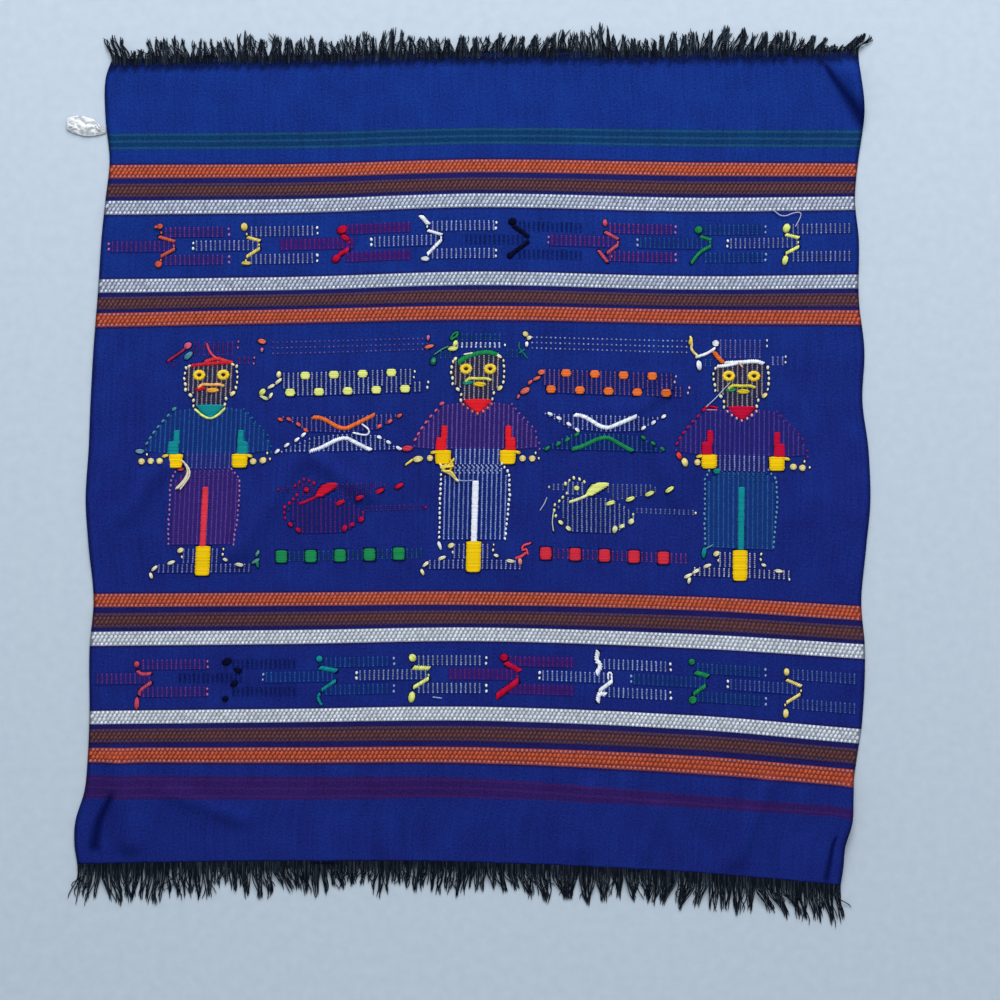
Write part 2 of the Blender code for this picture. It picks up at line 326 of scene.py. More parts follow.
def face_height(x, y):
    """The height of the cloth's face at a place of the lying cloth."""
    return rest_height(x, y, y - LOWER_END_Y) + CLOTH_THICKNESS


def to_frame(x, y, z):
    return (x - MIDDLE_X) * MM, (y - MIDDLE_Y) * MM, z * MM


class Value:
    """A shader value. Maths on it adds the nodes that work it out."""

    def __init__(self, finish, socket):
        self.finish = finish
        self.socket = socket

    def maths(self, operation, first, second=0.0):
        settings = {"operation": operation}
        return self.finish.node("ShaderNodeMath", settings, {0: first, 1: second})

    def __add__(self, other):
        return self.maths("ADD", self, other)

    def __radd__(self, other):
        return self.maths("ADD", other, self)

    def __sub__(self, other):
        return self.maths("SUBTRACT", self, other)

    def __mul__(self, other):
        return self.maths("MULTIPLY", self, other)

    def __truediv__(self, other):
        return self.maths("DIVIDE", self, other)

    def size(self):
        return self.maths("ABSOLUTE", self)

    def wave(self, period):
        return self.maths("SINE", self * (math.tau / period))


class Finish:
    """A material, and the one way in which its nodes are made."""

    def __init__(self, name, roughness, specular=0.2, sheen=0.0):
        self.material = bpy.data.materials.new(name)
        self.material.use_nodes = True
        self.tree = self.material.node_tree
        self.shader = self.tree.nodes["Principled BSDF"]
        self.shader.inputs["Roughness"].default_value = roughness
        self.shader.inputs["Specular IOR Level"].default_value = specular
        self.shader.inputs["Sheen Weight"].default_value = sheen
        self.shader.inputs["Sheen Roughness"].default_value = 0.5

    def connect(self, socket, value):
        if isinstance(value, Value):
            self.tree.links.new(value.socket, socket)
        else:
            socket.default_value = value

    def node(self, kind, settings, sockets, output=0):
        node = self.tree.nodes.new(kind)
        for name, value in settings.items():
            if name == "stops":
                self.set_stops(node.color_ramp, value)
            else:
                setattr(node, name, value)
        for name, value in sockets.items():
            self.connect(node.inputs[name], value)
        return Value(self, node.outputs[output])

    def set_stops(self, ramp, stops):
        ramp.interpolation = "CONSTANT"
        ramp.elements.remove(ramp.elements[1])
        ramp.elements[0].position, ramp.elements[0].color = stops[0]
        for position, colour in stops[1:]:
            ramp.elements.new(position).color = colour

    def place(self):
        """The piece's own coordinates, in metres."""
        return self.node("ShaderNodeTexCoord", {}, {}, "Object")

    def flat(self):
        """The place on the flat cloth, from the piece's UV map, in metres."""
        return self.node("ShaderNodeUVMap", {"uv_map": "flat"}, {})

    def scaled(self, vector, scale):
        """The vector stretched by three factors."""
        settings = {"operation": "MULTIPLY"}
        return self.node("ShaderNodeVectorMath", settings, {0: vector, 1: scale})

    def across_and_up(self, flat):
        """The place on the flat cloth as two values in millimetres."""
        parts = [self.node("ShaderNodeSeparateXYZ", {}, {0: flat}, axis) for axis in (0, 1)]
        return [part * MM_PER_METRE for part in parts]

    def mottle(self, vector, scale, detail=2.0):
        """Soft noise from 0 to 1, with that many patches to a unit of the vector."""
        sockets = {"Vector": vector, "Scale": scale, "Detail": detail}
        return self.node("ShaderNodeTexNoise", {}, sockets)

    def step(self, value, low, high, start=0.0, end=1.0):
        """A soft step from start to end as the value goes from low to high."""
        sockets = {0: value, 1: low, 2: high, 3: start, 4: end}
        return self.node("ShaderNodeMapRange", {"interpolation_type": "SMOOTHSTEP"}, sockets)

    def band(self, value, low, high, edge):
        """1 between low and high, 0 outside, with soft edges."""
        rise = self.step(value, low - edge, low + edge)
        return rise * self.step(value, high - edge, high + edge, 1.0, 0.0)

    def line(self, value, place):
        """1 along a thin woven line."""
        return self.band(value, place - LINE_HALF, place + LINE_HALF, LINE_EDGE)

    def blend(self, factor, first, second):
        """From the first colour to the second."""
        first, second = [self.solid(colour) for colour in (first, second)]
        return self.node("ShaderNodeMix", {"data_type": "RGBA"}, {0: factor, 6: first, 7: second}, 2)

    def shaded(self, colour, value):
        """The colour times a value."""
        settings = {"operation": "SCALE"}
        return self.node("ShaderNodeVectorMath", settings, {0: colour, "Scale": value})

    def solid(self, colour):
        return colour if isinstance(colour, Value) else (*colour, 1.0)

    def emboss(self, height, distance):
        """Raises the surface by a height from 0 to 1 times the distance."""
        bump = self.node("ShaderNodeBump", {}, {"Height": height, "Distance": distance}, "Normal")
        self.connect(self.shader.inputs["Normal"], bump)

    def set(self, name, value):
        self.connect(self.shader.inputs[name], value)


def add_object(name, data):
    """A new object in the scene, from a mesh, a curve, a camera or a light."""
    thing = bpy.data.objects.new(name, data)
    bpy.context.scene.collection.objects.link(thing)
    return thing


def make_piece(name, mesh, finish):
    """An object from a mesh, riding on the part's one body."""
    mesh.name = name
    mesh.materials.clear()
    mesh.materials.append(finish.material)
    piece = add_object(name, mesh)
    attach(piece, "root")
    return piece


def form_of(shape):
    """A stitch's form in a unit box, long way along X: its points and its faces."""
    bm = bmesh.new()
    if shape == "dot":
        bmesh.ops.create_uvsphere(bm, u_segments=4, v_segments=2, radius=0.5)
    elif shape == "bead":
        bmesh.ops.create_uvsphere(bm, u_segments=6, v_segments=4, radius=0.5)
        turn = Matrix.Rotation(math.pi / 2, 3, "Y")
        bmesh.ops.rotate(bm, verts=bm.verts[:], matrix=turn)
    else:
        bmesh.ops.create_cube(bm, size=1.0)
    if shape == "float":
        bmesh.ops.bevel(
            bm, geom=bm.edges[:], offset=0.24, affect="EDGES", segments=1, profile=0.5, material=-1
        )
    bmesh.ops.recalc_face_normals(bm, faces=bm.faces[:])
    bm.verts.index_update()
    points = np.array([vert.co[:] for vert in bm.verts])
    faces = [[vert.index for vert in face.verts] for face in bm.faces]
    bm.free()
    return points, faces


FORMS = {shape: form_of(shape) for shape in ("dot", "bead", "float", "pad")}
STITCH_SINK = 0.25


class Stitchwork:
    """Gathers stitches of any dye and joins them into one mesh."""

    def __init__(self, name, seed):
        self.name = name
        self.chance = random.Random(seed)
        self.stitches = {shape: [] for shape in FORMS}

    def stitch(self, shape, x, y, size, colour, angle=0.0, lift=0.0, spread=0.08):
        """One stitch on the face: its length, width and height, and its turn from the weft."""
        length, width, height = size
        tone = 1 + self.chance.uniform(-spread, spread)
        z = face_height(x, y) + height * (0.5 - STITCH_SINK) + lift
        dyed = [part * tone for part in colour]
        self.stitches[shape].append((x, y, z, length, width, height, angle, *dyed))

    def join(self, finish):
        points = []
        dyes = []
        loops = []
        counts = []
        smooth = []
        first = 0
        for shape, rows in self.stitches.items():
            if not rows:
                continue
            form, faces = FORMS[shape]
            table = np.array(rows)
            scaled = form[None, :, :] * table[:, None, 3:6]
            cos = np.cos(table[:, 6])[:, None]
            sin = np.sin(table[:, 6])[:, None]
            x = scaled[..., 0] * cos - scaled[..., 1] * sin + table[:, None, 0]
            y = scaled[..., 0] * sin + scaled[..., 1] * cos + table[:, None, 1]
            z = scaled[..., 2] + table[:, None, 2]
            points.append(np.stack([x - MIDDLE_X, y - MIDDLE_Y, z], axis=2).reshape(-1, 3) * MM)
            dyes.append(np.repeat(table[:, 7:10], len(form), axis=0))
            corners = np.concatenate([np.array(face) for face in faces])
            starts = first + np.arange(len(rows)) * len(form)
            loops.append((starts[:, None] + corners[None, :]).reshape(-1))
            counts.append(np.tile([len(face) for face in faces], len(rows)))
            smooth.append(np.full(len(faces) * len(rows), shape != "pad"))
            first += len(rows) * len(form)
        mesh = joined_mesh(points, dyes, loops, counts, smooth)
        return make_piece(self.name, mesh, finish)


def joined_mesh(points, dyes, loops, counts, smooth):
    """A mesh from arrays of points, dyes, face corners, corners to a face, and smooth faces."""
    points = np.concatenate(points)
    dyes = np.concatenate(dyes)
    loops = np.concatenate(loops)
    counts = np.concatenate(counts)
    mesh = bpy.data.meshes.new("stitches")
    mesh.vertices.add(len(points))
    mesh.vertices.foreach_set("co", points.reshape(-1).astype(np.float32))
    mesh.loops.add(len(loops))
    mesh.loops.foreach_set("vertex_index", loops.astype(np.int32))
    mesh.polygons.add(len(counts))
    starts = np.concatenate([[0], np.cumsum(counts)[:-1]])
    mesh.polygons.foreach_set("loop_start", starts.astype(np.int32))
    mesh.polygons.foreach_set("use_smooth", np.concatenate(smooth))
    mesh.update(calc_edges=True)
    layer = mesh.attributes.new("dye", "FLOAT_COLOR", "POINT")
    layer.data.foreach_set("color", np.column_stack([dyes, np.ones(len(dyes))]).reshape(-1))
    mesh.validate()
    return mesh


GROUND_WARM = dye(32, 44, 130)
GROUND_COOL = dye(25, 60, 148)
STITCH_LINE = dye(12, 16, 52)
SELVEDGE_NAVY = dye(14, 20, 52)
BETWEEN_STRIPES = dye(38, 30, 92)
GREEN_BAND = dye(20, 62, 108)
GREEN_LINE = dye(38, 92, 128)
PURPLE_BAND = dye(60, 30, 96)
PURPLE_LINE = dye(80, 40, 112)
GREEN_BAND_ENDS = (431.6, 441.6)
GREEN_LINES = (432.6, 436.6, 440.6)
PURPLE_LINES = (40.6, 45.4, 50.4)
LINE_HALF = 0.6
LINE_EDGE = 0.5
UNDER_MARGIN = 1.2
UNDER_COVER = 0.96
BETWEEN_COVER = 0.75


def under_stripes(cloth, ground, up):
    """The ground that shows between a stripe's ribs, one run of colours for each group; within a stripe it
    is the stripe's yarn darkened, as painted shade between the raised ribs.
    """
    for low, high in STRIPE_GROUPS:
        low -= UNDER_MARGIN
        high += UNDER_MARGIN
        between = (*BETWEEN_STRIPES, BETWEEN_COVER)
        stops = [(0.0, between)]
        for _, lower, upper, (_, _, under, _) in reversed(STRIPES):
            if low < lower and upper < high:
                # Each stripe's under dye is its yarn darkened: painted shade between the ribs.
                stops.append(((lower - low) / (high - low), (*under, UNDER_COVER)))
                stops.append(((upper - low) / (high - low), between))
        ramp = cloth.node("ShaderNodeValToRGB", {"stops": stops}, {0: (up - low) / (high - low)})
        cover = Value(cloth, ramp.socket.node.outputs["Alpha"])
        ground = cloth.blend(cover * cloth.band(up, low, high, 0.5), ground, ramp)
    return ground


# Painted shade along sharp creases: from across, up to across, up on the flat cloth, and the half width at
# each end.
SHADED_CREASES = (
    (437.5, 481.0, 461.0, 444.5, 2.6, 7.5),
    (17.5, 44.0, 11.5, 9.0, 4.5, 6.5),
    (454.0, 34.0, 451.0, 3.0, 2.0, 3.5),
)
# The colour and strength of the painted shade in the creases.
CREASE_SHADE_COLOUR = dye(8, 14, 74)
CREASE_SHADE_STRENGTH = 0.85


def crease_shade_mask(cloth, across, up, crease):
    """Where the painted crease shade falls: 1 along the bottom of a crease, fading to both sides and ends.
    """
    x0, y0, x1, y1, narrow, wide = crease
    length = math.hypot(x1 - x0, y1 - y0)
    east, north = (x1 - x0) / length, (y1 - y0) / length
    along = (across - x0) * east + (up - y0) * north
    aside = ((across - x0) * north - (up - y0) * east).size()
    half = cloth.step(along, 0.0, length, narrow, wide)
    return cloth.step(aside / half, 0.0, 1.0, 1.0, 0.0) * cloth.band(along, 2.0, length, 3.0)


WARP_PITCH = 0.56
LABEL_RIB_PITCH = 0.7


def cloth_finish():
    """Warp-faced plain weave in deep blue, with the flat bands, the ground under the stripes, and painted
    shade between the stripes' ribs and along the creases.
    """
    cloth = Finish("woven_ground", roughness=0.95, specular=0.02)
    flat = cloth.flat()
    across, up = cloth.across_and_up(flat)
    patches = cloth.mottle(flat, 55.0, 3.0)
    cool = cloth.step(up, 220.0, 440.0, -0.2, 0.4) + patches * 0.7
    ground = cloth.blend(cool, GROUND_WARM, GROUND_COOL)
    ground = under_stripes(cloth, ground, up)

    ground = cloth.blend(cloth.band(up, *GREEN_BAND_ENDS, 0.8) * 0.9, ground, GREEN_BAND)
    for place in GREEN_LINES:
        ground = cloth.blend(cloth.line(up, place) * 0.7, ground, GREEN_LINE)
    narrowing = cloth.step(across, 120.0, 440.0, 0.0, 3.0)
    purple = cloth.step(up - narrowing * 1.6, 37.8, 39.4)
    purple = purple * cloth.step(up + narrowing, 51.6, 53.4, 1.0, 0.0)
    ground = cloth.blend(purple * 0.8, ground, PURPLE_BAND)
    for place in PURPLE_LINES:
        ground = cloth.blend(cloth.line(up, place) * purple * 0.5, ground, PURPLE_LINE)

    ragged = cloth.mottle(cloth.scaled(flat, (260.0, 90.0, 1.0)), 1.0, 3.0) * 9.0 - 4.5
    edge = cloth.step(across + ragged * 0.3, 0.4, 3.0, 1.0, 0.0)
    edge = edge + cloth.step(across + ragged * 0.3, CLOTH_WIDTH - 3.0, CLOTH_WIDTH - 0.4)
    ground = cloth.blend(edge * 0.45, ground, SELVEDGE_NAVY)
    upper_end = cloth.step(up + ragged, CLOTH_LENGTH - 9.0, CLOTH_LENGTH - 3.5)
    ground = cloth.blend(upper_end * 0.8, ground, SELVEDGE_NAVY)
    hem = cloth.step(up + ragged * 0.15, 1.4, 2.4, 1.0, 0.0)
    ground = cloth.blend(hem * 0.85, ground, STITCH_LINE)

    # Painted shade: each crease darkens the ground along its bottom.
    for crease in SHADED_CREASES:
        crease_shade = crease_shade_mask(cloth, across, up, crease) * CREASE_SHADE_STRENGTH
        ground = cloth.blend(crease_shade, ground, CREASE_SHADE_COLOUR)

    streaks = cloth.mottle(cloth.scaled(flat, (700.0, 24.0, 1.0)), 1.0)
    wide = cloth.mottle(flat, 11.0)
    grain = cloth.mottle(flat, 820.0, 1.0)
    tone = streaks * 0.5 + patches * 0.25 + wide * 0.25 + grain
    cloth.set("Base Color", cloth.shaded(ground, tone))
    cloth.emboss(across.wave(WARP_PITCH) * 0.3 + grain + streaks, 0.35 * MM)
    return cloth


def yarn_finish():
    """Soft cotton yarn in each stitch's own dye."""
    yarn = Finish("brocade_yarn", roughness=0.85, specular=0.05)
    dyed = yarn.node("ShaderNodeVertexColor", {"layer_name": "dye"}, {})
    fuzz = yarn.mottle(yarn.place(), 2500.0)
    yarn.set("Base Color", yarn.shaded(dyed, 0.72 + fuzz * 0.56))
    yarn.emboss(fuzz, 0.15 * MM)
    return yarn


def fringe_finish():
    """Loose cotton ends in near-black navy, each a little different."""
    ends = Finish("fringe_yarn", roughness=0.9, specular=0.1)
    tone = ends.mottle(ends.scaled(ends.place(), (1300.0, 50.0, 200.0)), 1.0)
    shade = ends.blend(ends.step(tone, 0.45, 0.8), dye(12, 18, 32), dye(64, 77, 88))
    ends.set("Base Color", shade)
    return ends


def label_finish():
    """Soft white woven tape, left blank."""
    tape = Finish("label_tape", roughness=0.6, sheen=0.25)
    flat = tape.flat()
    up = tape.across_and_up(flat)[1]
    shade = tape.mottle(flat, 260.0)
    tape.set("Base Color", tape.blend(shade, dye(244, 247, 250), dye(254, 254, 255)))
    tape.emboss(up.wave(LABEL_RIB_PITCH) * 0.4 + shade, 0.2 * MM)
    return tape


def floor_finish():
    """A plain pale floor with a faint grain."""
    floor = Finish("plain_floor", roughness=0.9)
    grain = floor.mottle(floor.place(), 160.0, 4.0)
    floor.set("Base Color", floor.blend(grain, dye(192, 205, 218), dye(208, 219, 230)))
    return floor


def start_sheet(width, length, cells_across, cells_up):
    """A flat unit grid, and the layer that keeps every point's place on the flat cloth in metres."""
    bm = bmesh.new()
    bmesh.ops.create_grid(bm, x_segments=cells_across, y_segments=cells_up, size=0.5)
    layer = bm.verts.layers.float_vector.new("flat_place")
    for vert in bm.verts:
        vert[layer] = ((vert.co.x + 0.5) * width * MM, (vert.co.y + 0.5) * length * MM, 0.0)
    return bm, layer


def thicken(bm, thickness):
    """Turn an open sheet into a closed one by drawing it straight up."""
    drawn = bmesh.ops.extrude_face_region(bm, geom=bm.faces[:])["geom"]
    top = [item for item in drawn if isinstance(item, bmesh.types.BMVert)]
    bmesh.ops.translate(bm, verts=top, vec=(0, 0, thickness * MM))
    bmesh.ops.recalc_face_normals(bm, faces=bm.faces[:])


def write_flat(bm, layer):
    """Keeps the flat places as the UV map that the cloth's finish reads."""
    flat = bm.loops.layers.uv.new("flat")
    for face in bm.faces:
        for loop in face.loops:
            loop[flat].uv = loop.vert[layer].xy


def to_mesh(name, bm):
    mesh = bpy.data.meshes.new(name)
    bm.to_mesh(mesh)
    bm.free()
    return mesh


def end_sheet(name, bm, layer, thickness, finish):
    """A piece from a sheet whose points have been laid out."""
    thicken(bm, thickness)
    write_flat(bm, layer)
    mesh = to_mesh(name, bm)
    mesh.shade_smooth()
    return make_piece(name, mesh, finish)


def build_cloth(finish):
    bm, layer = start_sheet(CLOTH_WIDTH, CLOTH_LENGTH, CELLS_ACROSS, CELLS_UP)
    for vert in bm.verts:
        up = (vert.co.y + 0.5) * CLOTH_LENGTH
        x, y = lay(vert.co.x + 0.5, up)
        vert.co = to_frame(x, y, rest_height(x, y, up))
    return end_sheet("woven_cloth", bm, layer, CLOTH_THICKNESS, finish)


RIB_SIZE = (3.0, 2.0, 0.9)
RIB_EDGE_SIZE = (2.1, 1.8, 1.1)
RIB_MARGIN = 1.0
RIB_WANDER = 0.25


def build_stripe(name, lower, upper, dyes, seed, finish):
    """A raised stripe: slanting ribs that step from row to row, with paler beads at both edges."""
    work = Stitchwork(name, seed)
    ribs, edge, _, vary = dyes
    count = round(CLOTH_WIDTH / RIB_PITCH)
    row_pitch = (upper - lower) / RIB_ROWS
    for row in range(RIB_ROWS):
        up = lower + (row + 0.5) * row_pitch
        left, right = [lay(side, up)[0] for side in (0, 1)]
        at_edge = row in (0, RIB_ROWS - 1)
        size, colour = (RIB_EDGE_SIZE, edge) if at_edge else (RIB_SIZE, ribs)
        step = (row - 1.5) * row_pitch / math.tan(RIB_SLANT)
        for rib in range(count):
            x, y = lay((rib + 0.5) / count, up)
            x += step + work.chance.uniform(-RIB_WANDER, RIB_WANDER)
            if min(x - left, right - x) > RIB_MARGIN:
                work.stitch("bead", x, y, size, colour, RIB_SLANT, spread=vary)
    return work.join(finish)


# The brocade yarns
GOLD = dye(252, 206, 16)
PALE_GOLD = dye(243, 216, 92)
CREAM = dye(240, 234, 200)
PALE_YELLOW = dye(232, 238, 134)
ORANGE = dye(240, 118, 52)
CORAL = dye(232, 116, 92)
RED = dye(232, 34, 46)
CRIMSON = dye(196, 16, 58)
ROSE = dye(228, 76, 96)
GREEN = dye(32, 140, 82)
TEAL = dye(20, 142, 148)
WHITE = dye(242, 245, 254)
NAVY = dye(10, 14, 40)
PINK = dye(200, 112, 160)
LILAC = dye(150, 130, 190)
SKY = dye(150, 172, 214)
PUPIL = dye(52, 34, 16)
GROUND_DYE = dye(24, 44, 124)
# SHADOW and TICK_SHADE are painted shade: dark yarn laid on the face around raised stitches, and under and
# between tick columns.
SHADOW = dye(12, 16, 64)
TICK_SHADE = dye(19, 33, 106)

TICK_PITCH = 2.8
DOT_PITCH = 1.05
DOT_SIZE = (1.5, 1.45, 1.0)
ROW_PITCH = 0.95
OUTLINE_PITCH = 3.1
BEAD_SIZE = (2.3, 1.7, 1.4)
SMALL_BEAD = (1.8, 1.4, 1.2)
ROPE_FROM = 1.7
ROPE_PITCH = 1.2
PAD_LENGTH = 2.4
PAD_HEIGHT = 0.4
SHADOW_HEIGHT = 0.75
UPRIGHT = math.pi / 2
UNDER_WIDTH = TICK_PITCH + 0.1
CORNER_CUTS = 2


def mix(first, second, share):
    """A share of the first dye in the second, as yarns look that lie among others."""
    return tuple(a * share + b * (1 - share) for a, b in zip(first, second))


def round_off(points):
    """Cuts the corners of a path, so that it runs as yarn does."""
    for _ in range(CORNER_CUTS):
        cut = [points[0]]
        for start, end in zip(points, points[1:]):
            cut.append(tuple(a * 0.75 + b * 0.25 for a, b in zip(start, end)))
            cut.append(tuple(a * 0.25 + b * 0.75 for a, b in zip(start, end)))
        cut.append(points[-1])
        points = cut
    return points


def walk(points, pitch):
    """Places along a path at an even pitch, each with the path's direction there."""
    lengths = [math.dist(start, end) for start, end in zip(points, points[1:])]
    total = sum(lengths)
    count = max(round(total / pitch), 1)
    for n in range(count + 1):
        left = total * n / count
        for start, end, length in zip(points, points[1:], lengths):
            if left <= length or end is points[-1]:
                break
            left -= length
        share = min(left / max(length, 1e-6), 1.0)
        spot = [a + (b - a) * share for a, b in zip(start, end)]
        yield spot, math.atan2(end[1] - start[1], end[0] - start[0])


def climb(rows, pitch):
    """Rows of middle, up and length between the given ones, from the lowest to the highest."""
    bottom = rows[0][1]
    top = rows[-1][1]
    count = max(round((top - bottom) / pitch), 1)
    for n in range(count):
        up = bottom + (n + 0.5) * (top - bottom) / count
        for start, end in zip(rows, rows[1:]):
            if up <= end[1]:
                break
        share = (up - start[1]) / max(end[1] - start[1], 1e-6)
        yield [a + (b - a) * share for a, b in zip(start, end)]


def crossings(outline, x):
    """Where the lines of a closed outline cross a column, in pairs from the bottom."""
    found = []
    for start, end in zip(outline, outline[1:] + outline[:1]):
        if (start[0] - x) * (end[0] - x) < 0:
            share = (x - start[0]) / (end[0] - start[0])
            found.append(start[1] + (end[1] - start[1]) * share)
    found.sort()
    return zip(found[::2], found[1::2])


def box(x0, x1, up0, up1):
    return [(x0, up0), (x1, up0), (x1, up1), (x0, up1)]


class Motif:
    """A brocaded figure, charted in millimetres from its own corner on the loom."""

    def __init__(self, work, x, up, lean=0.0, stretch=1.0):
        self.work = work
        self.x = x
        self.up = up
        self.lean = lean
        self.stretch = stretch

    def moved(self, x, up):
        """The same figure's chart, a little further along."""
        return Motif(self.work, self.x + x, self.up + up, self.lean, self.stretch)

    def put(self, shape, x, up, size, colour, angle=0.0, lift=0.0, spread=0.08):
        """One stitch: a figure follows its weft rows and leans with the warp."""
        x = self.x + x * self.stretch + self.lean * up
        self.work.stitch(shape, x, on_row(x, self.up + up), size, colour, angle, lift, spread)

    def pad(self, x, up, size, colour, angle=0.0):
        """Flat yarn that tints the ground of a figure; in the SHADOW or TICK_SHADE dye it is a flat patch of
        painted shade.
        """
        lift = self.work.chance.uniform(0, 0.08)
        self.put("pad", x, up, (*size, PAD_HEIGHT), colour, angle, lift, 0.05)

    def shadow(self, x, up, size, angle=0.0, margin=1.0):
        """A dark flat bead a little wider than a raised stitch, under it: painted shade around the stitch,
        partly standing for the real dark gap where the ground is pushed aside.
        """
        size = (size[0] + margin, size[1] + margin, SHADOW_HEIGHT)
        self.put("bead", x, up, size, SHADOW, angle, 0.0, 0.1)

    def bead(self, x, up, colour, size=BEAD_SIZE, angle=UPRIGHT, margin=0.9):
        if margin:
            self.shadow(x, up, size, angle, margin)
        self.put("bead", x, up, size, colour, angle)

    def beads(self, points, colour, pitch=OUTLINE_PITCH, size=BEAD_SIZE, margin=0.9):
        """Outline beads along a path, as uneven as floats pulled by hand."""
        for (x, up), _ in walk(points, pitch):
            scale = self.work.chance.uniform(0.85, 1.12)
            tilt = UPRIGHT + self.work.chance.uniform(-0.4, 0.4)
            x += self.work.chance.uniform(-0.25, 0.25)
            self.bead(x, up, colour, [part * scale for part in size], tilt, margin)

    def blob(self, x, up, colour, size, angle=0.0, margin=1.1):
        """A rounded knot of floats, with its strands on top; painted shade rings it, and its body under the
        strands is darkened as painted shade between them.
        """
        length, width, height = size
        self.shadow(x, up, size, angle, margin)
        # The body is the knot's yarn darkened towards the shadow dye: painted shade between the strands.
        self.put("bead", x, up, size, mix(colour, SHADOW, 0.85), angle)
        count = max(round(width / 1.1), 2)
        for n in range(count):
            share = (2 * n + 1) / count - 1
            aside = 0.4 * width * share
            reach = 0.84 * length * math.sqrt(1 - 0.75 * share * share)
            tilt = angle + self.work.chance.uniform(-0.15, 0.15)
            strand = (reach, 1.15, 0.8 * height)
            x_aside = x - aside * math.sin(angle)
            self.put("bead", x_aside, up + aside * math.cos(angle), strand, colour, tilt, 0.3 * height, 0.14)

    def blobs(self, points, colour, size, angle):
        for x, up in points:
            self.blob(x, up, colour, size, angle + self.work.chance.uniform(-0.15, 0.15))

    def yarn(self, points, width, colour, lift=0.0):
        """A laid or loose yarn; a wide one is a rope of slanting stitches."""
        wide = width > ROPE_FROM
        pitch = ROPE_PITCH if wide else 0.75 * width
        size = (1.2 * width, 1.55, 1.6) if wide else (2.1 * width, 1.05 * width, width)
        slant = 0.9 if wide else 0.2
        steps = list(walk(round_off(points), pitch))
        if lift == 0.0:
            for (x, up), direction in steps[::2]:
                self.shadow(x, up, (3.0, width), direction)
        for (x, up), direction in steps:
            turn = direction + slant + self.work.chance.uniform(-0.1, 0.1)
            self.put("bead", x, up, size, colour, turn, lift, 0.2)

    def yarns(self, rows):
        """Several yarns, from rows of dye, width, lift and path."""
        for colour, width, lift, *points in rows:
            self.yarn(points, width, colour, lift)

    def stack(self, rows, colour):
        """Floats side by side up the warp, through rows of middle, up and length, over flat patches of
        painted shade a little wider than the rows.
        """
        for n, (x, up, length) in enumerate(climb(rows, ROW_PITCH)):
            # Every second row gets a flat patch in the shadow dye: painted shade around the block.
            if n % 2 == 0:
                self.pad(x, up, (length + 1.3, 2.8), SHADOW)
            length += self.work.chance.uniform(-0.3, 0.3)
            lift = self.work.chance.uniform(-0.08, 0.08)
            self.put("float", x, up, (length, 1.6, 1.4), colour, 0.0, lift, 0.08)

    def ticks(self, outline, colour, under=None):
        """Columns of pattern yarn that peep through the ground inside an outline."""
        outline = list(outline)
        x = min(point[0] for point in outline) + 0.5
        high = max(point[0] for point in outline)
        while x < high:
            tone = 1 + self.work.chance.uniform(-0.2, 0.2)
            for bottom, top in crossings(outline, x):
                if under:
                    length = min(top - bottom, PAD_LENGTH) + 0.5
                    for row in climb([(x, bottom, 0.0), (x, top, 0.0)], PAD_LENGTH):
                        self.pad(x, row[1], (length, UNDER_WIDTH), under, UPRIGHT)
                count = max(round((top - bottom) / DOT_PITCH), 1)
                for n in range(count):
                    up = bottom + (n + 0.5) * (top - bottom) / count
                    gain = tone * (1.3 if n in (0, count - 1) else 1.0)
                    aside = self.work.chance.uniform(-0.12, 0.12)
                    dyed = [part * gain for part in colour]
                    self.put("dot", x + aside, up, DOT_SIZE, dyed, 0.0, 0.0, 0.25)
            x += TICK_PITCH

    def eye(self, x, up):
        """A ring of short gold stitches around a dark middle."""
        self.shadow(x, up, (8.0, 6.6))
        for n in range(10):
            turn = n * math.tau / 10
            colour = mix(GOLD, PALE_GOLD, self.work.chance.uniform(0.2, 0.9))
            spot = (x + 2.5 * math.cos(turn), up + 1.95 * math.sin(turn))
            self.put("bead", *spot, (2.9, 2.8, 1.7), colour, turn + UPRIGHT, 0.1)
        self.put("bead", x + 0.2, up, (2.1, 1.6, 2.6), PUPIL)


# The three dolls. Each is charted from the middle of its feet.
DOLL_UP = 175.7
FACE_LEFT = ((-15.0, 125.6), (-16.4, 121.0), (-15.4, 116.5), (-15.0, 112.4))
FACE_RIGHT = ((15.2, 126.2), (16.0, 119.5), (15.4, 113.4))
CHIN_LEFT = ((-9.9, 105.8), (-9.9, 102.4))
CHIN_RIGHT = ((9.6, 106.8), (9.2, 103.2))
FACE = (
    (-13.8, 126.0), (-9.0, 128.4), (9.0, 130.0), (13.8, 127.6), (13.8, 111.0), (8.6, 108.0),
    (8.2, 101.4), (-8.6, 102.6), (-9.0, 109.0), (-13.8, 112.0),
)
SHIRT = (
    (-9.0, 101.0), (-20.5, 99.5), (-28.0, 91.5), (-34.2, 84.0), (-37.6, 74.8), (-26.0, 73.6),
    (-13.4, 73.6), (15.0, 73.6), (26.5, 73.6), (38.0, 75.0), (34.6, 84.0), (28.0, 91.0),
    (20.4, 99.8), (9.0, 101.5),
)
TROUSERS = (
    (-18.6, 19.0), (-18.6, 57.0), (-12.6, 63.0), (14.6, 63.4), (18.8, 57.0), (18.4, 19.0),
)
SHOULDER_LEFT = (
    (-24.6, 96.6), (-27.6, 93.2), (-30.4, 89.6), (-32.8, 86.2), (-34.8, 82.8), (-36.6, 79.4),
)
SHOULDER_RIGHT = (
    (20.6, 100.2), (26.2, 94.0), (32.3, 87.9), (35.4, 84.0), (36.4, 80.4), (37.8, 77.0), (38.2, 73.6),
)
TROUSER_LEFT = ((-18.2, 62.8), (-20.7, 58.6), (-20.8, 38.0), (-20.6, 20.2))
TROUSER_RIGHT = ((15.6, 64.4), (20.2, 58.6), (20.8, 46.0), (20.1, 35.0), (18.7, 19.5))
FOOT_TICKS = ((-26.5, -5, 1.4, 7.0), (5, 28.5, 1.4, 7.0), (-12, -5, 7.6, 16.5), (5, 9, 7.6, 16.5))


